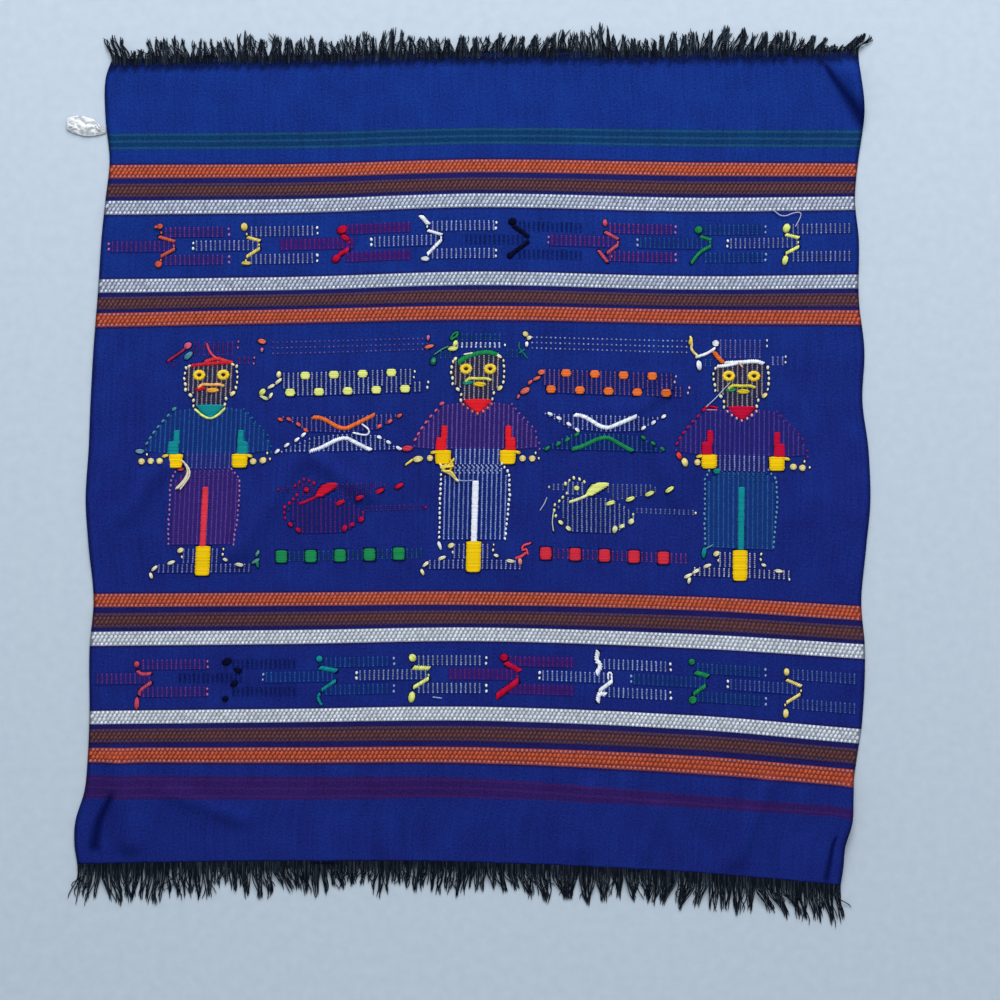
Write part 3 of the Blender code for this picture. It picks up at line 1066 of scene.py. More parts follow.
def draw_face(doll, dyes):
    """Round gold eyes and bright lips on dark ticks, in a ring of cream beads."""
    doll.ticks(FACE, dye(158, 150, 166), dye(44, 40, 66))
    for points in (FACE_LEFT, FACE_RIGHT, CHIN_LEFT, CHIN_RIGHT):
        doll.beads(points, CREAM)
    doll.blob(-11.8, 109.0, CREAM, (3.0, 2.0, 1.5), 2.3)
    doll.blob(13.4, 109.8, mix(CREAM, PALE_GOLD, 0.5), (4.2, 2.5, 1.6), 0.7)
    doll.eye(-7.2, 121.2)
    doll.eye(7.2, 121.2)
    doll.blob(-6.0, 112.9, dyes["cheek"], (7.0, 2.7, 1.4), 0.12)
    doll.blob(1.2, 112.0, dyes["mouth"], (8.4, 3.0, 1.6))
    lip = [(-7.0, 113.8), (-5.0, 115.7), (0.2, 115.2), (5.0, 115.6), (7.4, 114.6)]
    doll.yarn(lip, 1.9, dyes["lip"], 0.25)


def draw_doll(doll, dyes):
    """A standing doll: face, collar, wide sleeves, hands, trousers and feet."""
    doll.ticks(SHIRT, dyes["shirt"], dyes["shirt_under"])
    doll.ticks(box(-12.4, 14.2, 64.0, 73.4), dyes["belt"], dyes["belt_under"])
    doll.ticks(TROUSERS, dyes["trousers"], dyes["trousers_under"])
    for row in range(4):
        for column in range(10):
            x = -11.9 + column * TICK_PITCH + (row % 2) * 0.5 * TICK_PITCH
            doll.put("dot", x, 58.9 + 1.5 * row, (1.3, 1.2, 1.2), dyes["lattice"], 0.0, 0.1, 0.3)
    for x0, x1, up0, up1, colour in dyes["hat"]:
        doll.ticks(box(x0, x1, up0, up1), colour)
    for x0, x1, up0, up1 in FOOT_TICKS:
        doll.ticks(box(x0, x1, up0, up1), dyes["feet"], TICK_SHADE)
    for x, up in dyes["hat_beads"]:
        doll.bead(x, up, dyes["hat_bead"], SMALL_BEAD, margin=0.6)
    draw_face(doll, dyes)

    collar = [(0.8, 95.6, 2.4), (0.2, 98.2, 9.6), (0.3, 101.2, 15.0), (0.4, 102.8, 17.8)]
    doll.stack(collar, dyes["collar"])
    edge = [(-8.0, 99.8), (-4.0, 96.2), (0.6, 94.4), (4.8, 96.4), (8.6, 100.2)]
    if dyes["edge_beads"]:
        doll.beads(edge, dyes["collar_edge"], 3.4, (2.0, 1.6, 1.7), 0)
    else:
        doll.yarn(edge, 1.4, dyes["collar_edge"], 0.2)

    doll.blob(-21.2, 100.6, dyes["shoulder"], (3.6, 2.0, 1.4), 0.5, 0.6)
    for x, up in SHOULDER_LEFT:
        doll.bead(x, up, dyes["shoulder"], (2.7, 1.5, 1.3), 0.85, 0.5)
    doll.beads(SHOULDER_RIGHT, dyes["far_shoulder"], 3.6, (1.6, 1.3, 1.2), 0)
    arms = doll.moved(*dyes["arms_move"])
    for arm, cuff, hand, outer in ((-19.2, -20.9, -19.6, -1), (19.2, 20.6, 19.2, 1)):
        arms.stack([(arm, 79.4, 3.8), (arm, 87.2, 3.4)], dyes["arm"])
        arms.stack([(cuff, 73.0, 6.6), (cuff, 80.2, 6.0)], dyes["arm"])
        arms.stack([(hand, 64.8, 7.8), (hand, 66.2, 9.2), (hand, 72.6, 9.4)], GOLD)
        thumb = mix(GOLD, PALE_GOLD, 0.5)
        arms.blob(hand + 5.6 * outer, 71.7, thumb, (4.6, 1.9, 1.6), -0.25 * outer, 0.7)
    for x, up, length, angle in dyes["fingers"]:
        arms.blob(x, up, mix(PALE_GOLD, CREAM, 0.6), (length, 3.9, 1.8), angle, 0.8)
        # A small tall cream bead on each finger's middle: a painted highlight.
        arms.put("bead", x, up, (1.7, 1.3, 2.4), CREAM, angle)
    for x, up in dyes["finger_tips"]:
        arms.bead(x, up, CREAM, SMALL_BEAD)

    legs = doll.moved(*dyes["legs_move"])
    for points in (TROUSER_LEFT, TROUSER_RIGHT):
        legs.beads(points, dyes["trouser_bead"], 2.9, dyes["trouser_bead_size"], dyes["trouser_margin"])
    legs.stack([(0.1, 17.6, 3.6), (0.3, 53.6, 3.8)], dyes["trouser_stripe"])
    doll.stack([(0.0, -0.2, 7.0), (0.0, 1.0, 8.6), (0.0, 17.6, 8.8)], GOLD)

    doll.blob(-13.6, 15.4, mix(PALE_GOLD, CREAM, 0.4), (4.4, 3.0, 1.6), 0.5)
    doll.bead(-12.5, 11.4, CREAM, SMALL_BEAD)
    doll.blob(-18.8, 8.0, CREAM, (5.4, 2.2, 1.6), 0.35)
    for x, up, length, angle in dyes["toes"]:
        doll.blob(x, up, CREAM, (length, 2.1, 1.6), angle)
    doll.beads([(12.0, 16.0), (11.8, 12.8)], CREAM, 3.2, SMALL_BEAD)
    doll.blob(13.6, 9.6, CREAM, (3.4, 1.8, 1.5), -0.35)
    doll.blob(22.2, 6.4, CREAM, (5.4, 2.2, 1.6), -0.15)


CURLED_TOES = ((-28.6, 4.4, 5.0, 0.75), (-30.4, -0.4, 4.2, -1.2))
LEFT_DOLL = {
    "arms_move": (0.2, 0.0),
    "legs_move": (-0.6, -0.8),
    "shirt": dye(38, 92, 150),
    "shirt_under": dye(22, 47, 120),
    "belt": dye(92, 96, 156),
    "belt_under": dye(30, 42, 120),
    "lattice": dye(70, 56, 134),
    "trousers": dye(92, 66, 146),
    "trousers_under": dye(52, 34, 112),
    "hat": (
        (-11.0, 13.0, 132.6, 140.6, dye(84, 44, 120)),
        (16.0, 24.0, 127.4, 131.6, dye(100, 40, 110)),
        (-26.0, -20.0, 126.6, 130.4, dye(64, 44, 124)),
    ),
    "hat_beads": ((15.4, 140.4), (15.2, 137.0), (25.4, 131.0), (25.2, 127.6)),
    "hat_bead": mix(PINK, GROUND_DYE, 0.8),
    "feet": dye(120, 122, 176),
    "lip": dye(242, 184, 110),
    "mouth": dye(244, 176, 70),
    "cheek": dye(206, 30, 44),
    "collar": TEAL,
    "collar_edge": PALE_YELLOW,
    "edge_beads": False,
    "shoulder": mix(TEAL, SKY, 0.75),
    "far_shoulder": mix(TEAL, GROUND_DYE, 0.5),
    "arm": TEAL,
    "fingers": ((-28.2, 68.6, 4.2, 0.0), (-33.7, 68.6, 4.2, 0.0), (-39.4, 68.4, 4.2, 0.0),
                (27.4, 68.2, 4.2, 0.0), (33.2, 68.8, 4.6, 0.5)),
    "finger_tips": ((-36.4, 72.6), (35.6, 73.2), (37.4, 69.6)),
    "trouser_bead": mix(PINK, LILAC, 0.6),
    "trouser_bead_size": (1.8, 1.3, 1.2),
    "trouser_margin": 0,
    "trouser_stripe": mix(RED, ROSE, 0.5),
    "toes": CURLED_TOES,
}
MIDDLE_DOLL = {
    "arms_move": (-0.1, -0.2),
    "legs_move": (-0.1, 0.3),
    "shirt": dye(112, 82, 158),
    "shirt_under": dye(44, 34, 108),
    "belt": dye(160, 172, 214),
    "belt_under": dye(24, 40, 116),
    "lattice": dye(170, 182, 214),
    "trousers": dye(140, 160, 210),
    "trousers_under": dye(20, 36, 112),
    "hat": (
        (-13.2, 13.5, 133.8, 137.2, dye(186, 196, 216)),
        (-13.2, 13.5, 138.2, 142.4, dye(30, 84, 128)),
        (-23.0, -16.0, 127.6, 132.4, dye(28, 80, 124)),
        (17.0, 27.0, 128.0, 133.0, dye(26, 72, 124)),
    ),
    "hat_beads": ((15.8, 135.6),),
    "hat_bead": WHITE,
    "feet": dye(140, 146, 192),
    "lip": dye(232, 226, 110),
    "mouth": dye(238, 204, 40),
    "cheek": mix(GREEN, TEAL, 0.4),
    "collar": RED,
    "collar_edge": CORAL,
    "edge_beads": True,
    "shoulder": mix(ROSE, PINK, 0.5),
    "far_shoulder": mix(PINK, GROUND_DYE, 0.6),
    "arm": RED,
    "fingers": ((-27.4, 68.2, 4.0, 0.0), (-34.6, 67.8, 6.6, 0.15),
                (28.1, 68.0, 4.2, 0.0), (33.9, 68.0, 4.2, 0.0)),
    "finger_tips": ((35.8, 71.4), (37.8, 68.2)),
    "trouser_bead": WHITE,
    "trouser_bead_size": (2.1, 1.6, 1.3),
    "trouser_margin": 0.6,
    "trouser_stripe": WHITE,
    "toes": CURLED_TOES,
}
RIGHT_DOLL = {
    "arms_move": (1.6, 0.4),
    "legs_move": (0.35, 0.85),
    "shirt": dye(86, 66, 150),
    "shirt_under": dye(34, 35, 112),
    "belt": dye(134, 142, 192),
    "belt_under": dye(32, 36, 108),
    "lattice": dye(40, 84, 140),
    "trousers": dye(42, 96, 154),
    "trousers_under": dye(22, 52, 120),
    "hat": (
        (-12.4, 12.8, 131.6, 142.0, dye(100, 98, 168)),
        (17.6, 24.0, 127.4, 132.6, dye(116, 120, 180)),
        (-21.0, -16.0, 126.6, 131.0, dye(50, 86, 156)),
    ),
    "hat_beads": ((14.6, 141.6), (14.6, 138.4), (25.4, 132.4), (25.3, 129.2)),
    "hat_bead": mix(WHITE, SKY, 0.6),
    "feet": dye(168, 164, 182),
    "lip": dye(222, 210, 76),
    "mouth": dye(226, 204, 44),
    "cheek": dye(50, 140, 96),
    "collar": CRIMSON,
    "collar_edge": dye(238, 170, 180),
    "edge_beads": True,
    "shoulder": mix(CRIMSON, GROUND_DYE, 0.75),
    "far_shoulder": mix(CRIMSON, GROUND_DYE, 0.4),
    "arm": CRIMSON,
    "fingers": ((-26.4, 68.0, 4.0, 0.0), (-33.6, 67.8, 5.6, 1.9),
                (28.6, 67.2, 4.4, 0.0), (33.8, 66.8, 4.4, 0.0)),
    "finger_tips": ((35.0, 70.6), (38.0, 67.2)),
    "trouser_bead": mix(TEAL, SKY, 0.6),
    "trouser_bead_size": (1.9, 1.4, 1.2),
    "trouser_margin": 0,
    "trouser_stripe": TEAL,
    "toes": ((-25.4, 4.4, 5.4, 0.55), (-29.8, 1.4, 6.0, 0.45), (-29.2, -1.6, 4.4, 1.4)),
}


def build_dolls(finish):
    """The dolls differ in their dyes, their brims and the yarn ends left on the face."""
    left = Motif(Stitchwork("doll_left", 101), -159.4, DOLL_UP, 0.046)
    draw_doll(left, LEFT_DOLL)
    left.yarn([(-11.6, 127.0), (0.0, 128.0), (11.0, 128.6)], 2.3, dye(204, 36, 56))
    left.yarn([(-4.0, 129.0), (2.6, 131.2), (6.4, 130.0), (11.6, 128.4)], 2.6, dye(216, 60, 66))
    left.yarn([(-3.2, 139.0), (-2.0, 135.6), (0.6, 132.4), (3.0, 131.0)], 1.2, ROSE, 0.3)
    left.bead(12.6, 127.4, CREAM, (2.6, 1.6, 1.5), -0.5)
    left.bead(-13.4, 126.6, CREAM, (2.6, 1.6, 1.5), 0.6)
    left.yarn([(-25.8, 130.2), (-20.0, 134.0), (-17.4, 136.0)], 1.4, dye(168, 40, 76))
    left.blob(-14.8, 138.6, mix(PINK, ROSE, 0.5), (5.3, 3.9, 1.6), 0.55)
    left.blob(-14.2, 132.8, mix(TEAL, SKY, 0.7), (6.6, 3.4, 1.6), 0.75)
    left.blob(-15.8, 63.8, mix(CRIMSON, CORAL, 0.6), (4.4, 2.6, 1.4))
    tuft = (
        (CREAM, 0.9, 1.2, (-14.6, 68.6), (-10.6, 64.6), (-9.6, 60.4), (-12.0, 56.0), (-15.0, 52.2)),
        (mix(CREAM, ORANGE, 0.8), 0.9, 1.0, (-13.8, 68.0), (-10.8, 62.8), (-13.0, 57.4), (-17.6, 52.4)),
        (CREAM, 0.9, 1.6, (-10.6, 62.0), (-12.4, 56.6), (-16.4, 52.6)),
    )
    left.yarns(tuft)
    left.blob(-40.6, 74.6, mix(TEAL, SKY, 0.4), (5.8, 2.8, 1.6))

    middle = Motif(Stitchwork("doll_middle", 102), 3.1, DOLL_UP, 0.024)
    draw_doll(middle, MIDDLE_DOLL)
    middle.yarn([(-11.6, 125.2), (-9.0, 127.4), (-4.4, 129.2)], 3.4, GREEN)
    middle.yarn([(-7.4, 128.6), (0.0, 130.6), (6.0, 131.4), (11.0, 129.8)], 3.2, GREEN)
    middle.yarn([(-8.0, 130.0), (-4.2, 130.6)], 0.9, CREAM, 0.6)
    middle.blob(-13.8, 127.2, CREAM, (3.2, 1.7, 1.4), 0.8)
    middle.blob(12.4, 129.0, CREAM, (4.6, 1.8, 1.4), -0.5)
    leaf = [(-16.6, 139.8), (-15.2, 142.4), (-12.4, 143.4), (-13.0, 141.0), (-15.6, 139.4)]
    middle.yarn(leaf, 1.3, GREEN)
    middle.blob(-15.4, 133.4, PALE_YELLOW, (6.4, 2.8, 1.6), 0.1)
    middle.blob(-14.0, 136.4, PALE_YELLOW, (4.6, 2.8, 1.7), 1.1)
    middle.yarn([(-18.6, 134.6), (-22.0, 133.2), (-26.0, 130.4)], 1.0, mix(GREEN, SKY, 0.8))
    middle.blob(-26.8, 126.2, mix(GREEN, GROUND_DYE, 0.9), (5.0, 3.6, 1.6), 1.3)
    middle.put("bead", -26.8, 126.2, (2.4, 1.4, 2.6), mix(GREEN, SKY, 0.5), 1.3)
    sprig = mix(GREEN, GROUND_DYE, 0.7)
    straw = mix(PALE_GOLD, CREAM, 0.5)
    tangle = (
        (sprig, 0.8, 0.3, (24.4, 136.8), (24.0, 134.0), (27.0, 131.0), (29.0, 128.4)),
        (sprig, 0.9, 0.3, (25.0, 131.4), (27.2, 132.8)),
        (PALE_GOLD, 1.2, 1.2, (-13.4, 66.8), (-15.4, 63.8), (-19.6, 61.6), (-21.0, 62.6), (-18.0, 63.6)),
        (straw, 1.5, 0.9, (-20.8, 63.6), (-19.0, 60.4), (-14.6, 58.2), (-11.0, 54.6)),
        (PALE_GOLD, 1.3, 1.5, (-14.0, 62.8), (-19.6, 62.4), (-19.0, 59.6), (-15.2, 60.4), (-12.6, 57.0)),
        (GOLD, 1.4, 0.8, (-15.0, 66.4), (-13.8, 64.0), (-15.0, 61.0)),
        (SKY, 0.6, 0.4, (-10.6, 54.8), (-7.0, 54.0), (-1.6, 54.4)),
    )
    middle.yarns(tangle)
    middle.blob(-20.4, 15.4, WHITE, (6.0, 2.1, 1.5), -1.25)
    middle.blob(-41.2, 74.2, mix(ROSE, CRIMSON, 0.7), (7.0, 3.6, 1.7), 0.1)
    middle.bead(-45.6, 74.0, WHITE, (2.6, 1.8, 1.4), 0.2)
    middle.yarn([(-41.4, 64.8), (-38.6, 66.8)], 1.3, PALE_GOLD)

    right = Motif(Stitchwork("doll_right", 103), 163.0, DOLL_UP - 0.3, 0.006, 1.045)
    draw_doll(right, RIGHT_DOLL)
    right.yarn([(-13.4, 126.8), (-9.0, 127.2), (-2.0, 128.8)], 2.2, WHITE)
    right.yarn([(-9.0, 128.8), (0.0, 129.2), (8.6, 130.0), (12.2, 128.6)], 2.6, WHITE)
    right.yarn([(-1.4, 129.0), (0.4, 126.6)], 0.9, mix(CREAM, CORAL, 0.5), 0.8)
    stalk = [(-29.0, 142.6), (-28.4, 139.4), (-28.8, 136.0), (-25.6, 133.0)]
    right.yarn(stalk, 1.5, mix(PALE_GOLD, CREAM, 0.6))
    right.yarn([(-25.0, 132.2), (-20.0, 133.8), (-16.0, 136.4)], 1.7, WHITE)
    right.blob(-14.8, 139.8, WHITE, (4.4, 4.0, 1.8), 0.2)
    right.blob(-24.2, 127.2, WHITE, (6.4, 3.4, 1.7), 1.75)
    right.yarn([(-15.4, 134.6), (-13.4, 131.8), (-10.6, 129.2)], 3.0, ORANGE)
    thread = [(-6.6, 117.2), (-11.0, 112.2), (-15.2, 107.2), (-20.0, 102.6)]
    right.yarn(thread, 0.45, mix(WHITE, SKY, 0.4), 1.6)
    right.yarn([(-20.4, 102.2), (-17.4, 103.0), (-14.2, 102.0)], 1.2, CRIMSON)
    right.yarn([(-19.2, 100.6), (-14.4, 100.6)], 0.9, PINK, 0.3)
    right.blob(-13.6, 63.6, mix(TEAL, GREEN, 0.7), (5.0, 3.2, 1.5), 0.2)
    right.blob(-20.8, 15.6, TEAL, (7.0, 2.8, 1.5), 1.5)
    right.yarn([(-20.8, 17.6), (-16.2, 20.2)], 1.0, mix(TEAL, SKY, 0.7))
    right.blob(-35.4, 72.0, mix(RED, CORAL, 0.7), (4.8, 3.2, 1.7), 1.9)
    right.bead(28.2, 1.6, WHITE, SMALL_BEAD)
    return [doll.work.join(finish) for doll in (left, middle, right)]


# Between the dolls: a dotted band, a serpent, two crossed garlands, a bird and a row of squares.
GROUP_STEP = 156.6
LEFT_GROUP_X = -106.8
GROUP_UP = -0.6
SPOT_PITCH = 17.2
SQUARE_PITCH = 17.6
DOT_ROWS = (316.6, 313.4, 310.2)
DOTS_FROM = -10.6
DOTS_IN_ROW = 34
SPOT_HALF = 3.8
LOWER_SPOTS_UP = 286.4
UPPER_SPOTS_UP = 296.4


def draw_dots(motif, colour, ends):
    for up in DOT_ROWS:
        for n in range(DOTS_IN_ROW):
            x = DOTS_FROM + n * TICK_PITCH
            motif.put("dot", x, up, (1.5, 1.4, 1.0), colour, 0.0, 0.0, 0.4)
    for x, up, size, angle, shade in ends:
        motif.blob(x, up, shade, size, angle)


def draw_serpent(motif, colour, tick, bead, head):
    """Spots in two staggered rows, with ticks between them, a curled head and a beaded tail."""
    lower = [(n * SPOT_PITCH, LOWER_SPOTS_UP) for n in range(5)]
    upper = [(9.0 + n * SPOT_PITCH, UPPER_SPOTS_UP) for n in range(4)]
    column = -3.6
    while column < 80:
        under, over = [any(abs(column - x) < SPOT_HALF for x, _ in row) for row in (lower, upper)]
        bottom = 288.8 if under else 284.4
        top = 294.2 if over else 298.4
        if column > 72:
            top = 290.5
        motif.ticks(box(column - 0.6, column + 0.6, bottom, top), tick, TICK_SHADE)
        column += TICK_PITCH
    for x, up in lower + upper:
        rows = [(x, up - 1.9, 4.0), (x, up - 0.8, 5.8), (x, up + 0.8, 5.8), (x, up + 1.9, 4.2)]
        motif.stack(rows, colour)
    motif.beads([(74.6, 296.6), (74.2, 293.2)], bead, 3.4, SMALL_BEAD, 0.5)
    motif.beads([(82.8, 290.0), (82.0, 286.8)], bead, 3.4, SMALL_BEAD, 0.5)
    for x, up, shade, size, angle in head:
        motif.blob(x, up, shade, size, angle)


def draw_garlands(motif, upper, lower, upper_end, ticks, arms):
    """A valley of one yarn over a ridge of another, each with knots that carry it outwards."""
    upper_ticks, lower_ticks = ticks
    above = [(-4.0, 271.4), (66.0, 271.4), (54.0, 262.6), (32.0, 261.2), (11.0, 262.6)]
    below = [(11.0, 259.0), (32.0, 260.4), (54.0, 259.0), (66.0, 250.0), (-5.0, 250.0)]
    motif.ticks(above, upper_ticks, TICK_SHADE)
    motif.ticks(below, lower_ticks, TICK_SHADE)
    valley = [(14.6, 271.0), (20.0, 270.6), (32.0, 262.6), (40.0, 266.2), (50.6, 271.2)]
    ridge = [(13.2, 250.4), (18.0, 251.6), (32.6, 259.2), (40.4, 254.4), (48.4, 250.4)]
    motif.yarn(valley, 2.7, upper)
    motif.yarn(ridge, 2.7, lower)
    left_upper, right_upper, left_lower, right_lower = arms
    motif.blobs(left_upper, upper_end, (3.8, 2.0, 1.5), -0.5)
    motif.blobs(right_upper, upper_end, (3.8, 2.0, 1.5), 0.6)
    motif.blobs(left_lower, lower, (4.2, 1.9, 1.5), 0.6)
    motif.blobs(right_lower, lower, (3.6, 1.9, 1.5), -0.6)


BIRD_BODY = (
    (-1.0, 216.0), (4.0, 222.0), (30.0, 222.0), (40.0, 217.0), (46.0, 212.0), (38.0, 204.0),
    (30.0, 201.4), (6.0, 201.6),
)
BIRD_WING = ((26.0, 230.4), (56.0, 230.8), (60.0, 227.0), (46.0, 223.0), (32.0, 220.6))
BIRD_CREST = ((3.6, 229.8), (6.0, 231.8), (8.8, 233.4), (12.4, 232.6), (14.8, 231.2))
BIRD_BREAST = ((4.4, 224.2), (1.4, 220.8), (-2.4, 217.6), (-3.2, 214.4), (-2.4, 210.6))
BIRD_CREST_FLOATS = ((17.6, 223.4, 4.0), (21.0, 226.6, 8.2), (24.6, 229.6, 10.2), (26.4, 230.8, 6.0))
BIRD_TAIL = ((30.5, 219.2), (42.4, 221.9), (54.0, 225.4), (65.8, 228.2))


def draw_bird(motif, colour, light, tick):
    """A long-tailed bird: crested head, beaded breast, a wing that thickens, and a stepped tail."""
    faint = mix(tick, GROUND_DYE, 0.5)
    motif.ticks(BIRD_BODY, tick, TICK_SHADE)
    motif.ticks(BIRD_WING, faint)
    motif.ticks(box(46.0, 80.6, 213.6, 216.8), faint)
    motif.ticks(box(-4.0, 4.6, 225.8, 229.6), mix(tick, GROUND_DYE, 0.6))
    motif.ticks(box(4.8, 15.6, 223.4, 231.0), tick)
    motif.bead(81.6, 215.0, light, SMALL_BEAD, margin=0.4)
    motif.bead(-6.2, 227.6, mix(light, GROUND_DYE, 0.7), SMALL_BEAD, margin=0.4)
    motif.beads(BIRD_CREST, light, 2.9, BEAD_SIZE, 0.5)
    motif.blob(10.3, 227.4, mix(colour, light, 0.5), (3.6, 3.0, 1.6))
    motif.beads(BIRD_BREAST, light, 3.5, BEAD_SIZE, 0.5)
    motif.blob(0.8, 206.8, light, (3.8, 2.4, 1.5), -0.7)
    motif.blob(5.4, 203.4, light, (4.0, 2.6, 1.5), -0.7)
    motif.yarn([(6.4, 219.2), (11.0, 220.6), (18.0, 224.0)], 1.8, light)
    motif.stack(BIRD_CREST_FLOATS, colour)
    motif.blobs(BIRD_TAIL, colour, (6.2, 2.7, 1.7), 0.45)
    motif.blob(33.2, 203.8, light, (4.8, 3.2, 1.6), 1.3)
    motif.blob(37.4, 205.8, light, (4.0, 2.4, 1.6), 0.5)
    motif.blob(43.0, 208.8, light, (4.2, 3.2, 1.6), 0.8)
    motif.bead(44.2, 213.0, light, SMALL_BEAD, margin=0.4)


def draw_squares(motif, first, colour, tick):
    for n in range(5):
        x = first + n * SQUARE_PITCH
        motif.ticks(box(x + 4.4, x + 13.6, 185.0, 191.0), tick)
        rows = [(x, 184.6, 5.8), (x, 185.6, 6.8), (x, 190.6, 6.8), (x, 191.4, 5.8)]
        motif.stack(rows, colour)


LEFT_ARMS = (
    ((-5.2, 270.0), (0.0, 270.0), (5.6, 266.8), (10.0, 263.2)),
    ((54.0, 264.3), (60.3, 267.0), (66.1, 270.3)),
    ((-7.2, 250.5), (-1.4, 254.2), (4.8, 257.4), (8.6, 260.4)),
    ((54.0, 257.7), (59.6, 254.5), (65.4, 250.9)),
)
RIGHT_ARMS = (
    ((-0.6, 271.2), (4.7, 268.8), (10.7, 265.3), (15.7, 261.9)),
    ((55.3, 264.3), (61.2, 267.8), (67.4, 271.8)),
    ((-2.3, 250.4), (4.3, 253.2), (9.7, 255.9), (15.3, 259.2)),
    ((55.3, 258.4), (61.0, 255.1), (66.6, 251.8)),
)


def build_groups(finish):
    """What lies between the dolls, in the left and the right gap."""
    left = LEFT_GROUP_X
    right = LEFT_GROUP_X + GROUP_STEP
    motifs = []

    def start(name, x, up=GROUP_UP):
        motif = Motif(Stitchwork(name, 201 + len(motifs)), x, up)
        motifs.append(motif)
        return motif

    left_ends = (
        (-17.2, 317.3, (5.4, 3.0, 1.6), -0.2, CORAL),
        (-17.2, 312.4, (3.2, 1.8, 1.4), 1.5, PINK),
        (82.4, 317.0, (3.8, 1.8, 1.4), 1.5, PINK),
        (83.0, 311.8, (6.4, 2.2, 1.6), 0.25, CORAL),
    )
    draw_dots(start("dots_left", left + 0.6, GROUP_UP - 0.6), dye(104, 84, 152), left_ends)
    right_ends = (
        (-14.6, 318.4, (3.8, 3.2, 1.6), -0.6, mix(CREAM, PALE_GOLD, 0.4)),
        (-12.4, 316.2, (3.4, 2.4, 1.6), 0.6, CREAM),
        (-13.9, 312.4, (3.6, 2.2, 1.6), 1.5, WHITE),
        (84.2, 316.8, (4.8, 2.0, 1.6), 1.2, PALE_GOLD),
    )
    draw_dots(start("dots_right", right - 0.7, GROUP_UP + 0.2), dye(140, 150, 196), right_ends)

    left_head = (
        (-6.8, 297.4, mix(PALE_YELLOW, CREAM, 0.5), (4.2, 3.0, 1.6), 1.4),
        (-7.0, 293.2, CREAM, (5.6, 2.0, 1.5), 0.8),
        (-11.4, 290.2, CREAM, (5.2, 2.0, 1.5), 0.5),
        (-16.6, 286.8, PALE_YELLOW, (5.0, 3.4, 1.6), 0.9),
        (-15.6, 283.4, mix(PALE_YELLOW, SKY, 0.7), (6.0, 2.0, 1.5), -0.4),
        (-11.6, 284.6, CREAM, (4.4, 1.8, 1.5), 1.0),
    )
    pale = mix(PALE_YELLOW, WHITE, 0.4)
    serpent = start("serpent_left", left + 0.3, GROUP_UP)
    draw_serpent(serpent, PALE_YELLOW, dye(150, 160, 188), pale, left_head)
    right_head = (
        (-5.8, 296.4, CORAL, (4.8, 3.2, 1.6), 0.2),
        (-8.6, 292.6, CORAL, (5.4, 1.9, 1.5), 0.5),
        (-12.6, 290.2, mix(CORAL, ROSE, 0.5), (4.0, 1.7, 1.5), 0.8),
        (-15.6, 285.0, CORAL, (6.6, 3.6, 1.6), 0.5),
        (-19.6, 281.4, mix(ROSE, PINK, 0.5), (3.4, 1.2, 1.2), 1.1),
    )
    pink = mix(PINK, WHITE, 0.6)
    serpent = start("serpent_right", right, GROUP_UP - 0.2)
    draw_serpent(serpent, ORANGE, dye(122, 84, 132), pink, right_head)

    ticks = (dye(104, 96, 156), dye(142, 154, 196))
    cross = start("garlands_left", left - 0.3)
    draw_garlands(cross, ORANGE, WHITE, mix(ORANGE, ROSE, 0.4), ticks, LEFT_ARMS)
    hook = [(38.9, 260.8), (43.0, 259.6), (47.4, 259.2), (48.2, 262.4), (44.2, 265.6)]
    cross.yarn(hook, 1.0, WHITE, 1.2)
    ticks = (dye(130, 142, 190), dye(44, 92, 136))
    draw_garlands(start("garlands_right", right), WHITE, GREEN, WHITE, ticks, RIGHT_ARMS)

    red_bird = start("bird_left", left - 0.25, GROUP_UP - 0.1)
    draw_bird(red_bird, mix(CRIMSON, RED, 0.6), mix(CRIMSON, GROUND_DYE, 0.9), dye(92, 36, 114))
    bird = start("bird_right", right + 5.0, GROUP_UP - 0.3)
    draw_bird(bird, PALE_YELLOW, mix(PALE_YELLOW, CREAM, 0.5), dye(122, 134, 170))
    bird.yarn([(-3.6, 212.6), (-4.4, 207.0), (-3.6, 202.0)], 0.9, mix(CREAM, SKY, 0.5))
    bird.yarn([(-7.6, 221.0), (-9.0, 217.6), (-11.4, 214.0)], 0.6, mix(WHITE, GROUND_DYE, 0.5), 0.4)

    squares = start("squares_left", left + 0.5, GROUP_UP - 0.6)
    draw_squares(squares, -5.5, GREEN, dye(34, 78, 124))
    pale_green = mix(GREEN, SKY, 0.7)
    squares.blob(-19.8, 190.2, pale_green, (4.6, 1.8, 1.5), 1.2)
    squares.blob(-21.0, 185.4, pale_green, (6.0, 2.0, 1.5), 0.5)
    squares.blob(-19.8, 183.6, mix(GREEN, GROUND_DYE, 0.8), (5.4, 1.8, 1.5), 1.7)
    squares = start("squares_right", right, GROUP_UP - 0.2)
    draw_squares(squares, -3.2, dye(214, 48, 66), dye(104, 52, 124))
    curl = [(-13.0, 193.6), (-17.0, 192.4), (-17.4, 189.4), (-14.6, 190.4), (-14.2, 188.0)]
    squares.yarn(curl, 1.3, ROSE)
    squares.yarn([(-15.6, 187.6), (-18.0, 185.6), (-20.8, 184.8)], 1.8, ROSE)
    squares.blob(-18.6, 182.8, mix(ROSE, CREAM, 0.7), (4.6, 2.6, 1.5), 1.7)
    return [motif.work.join(finish) for motif in motifs]


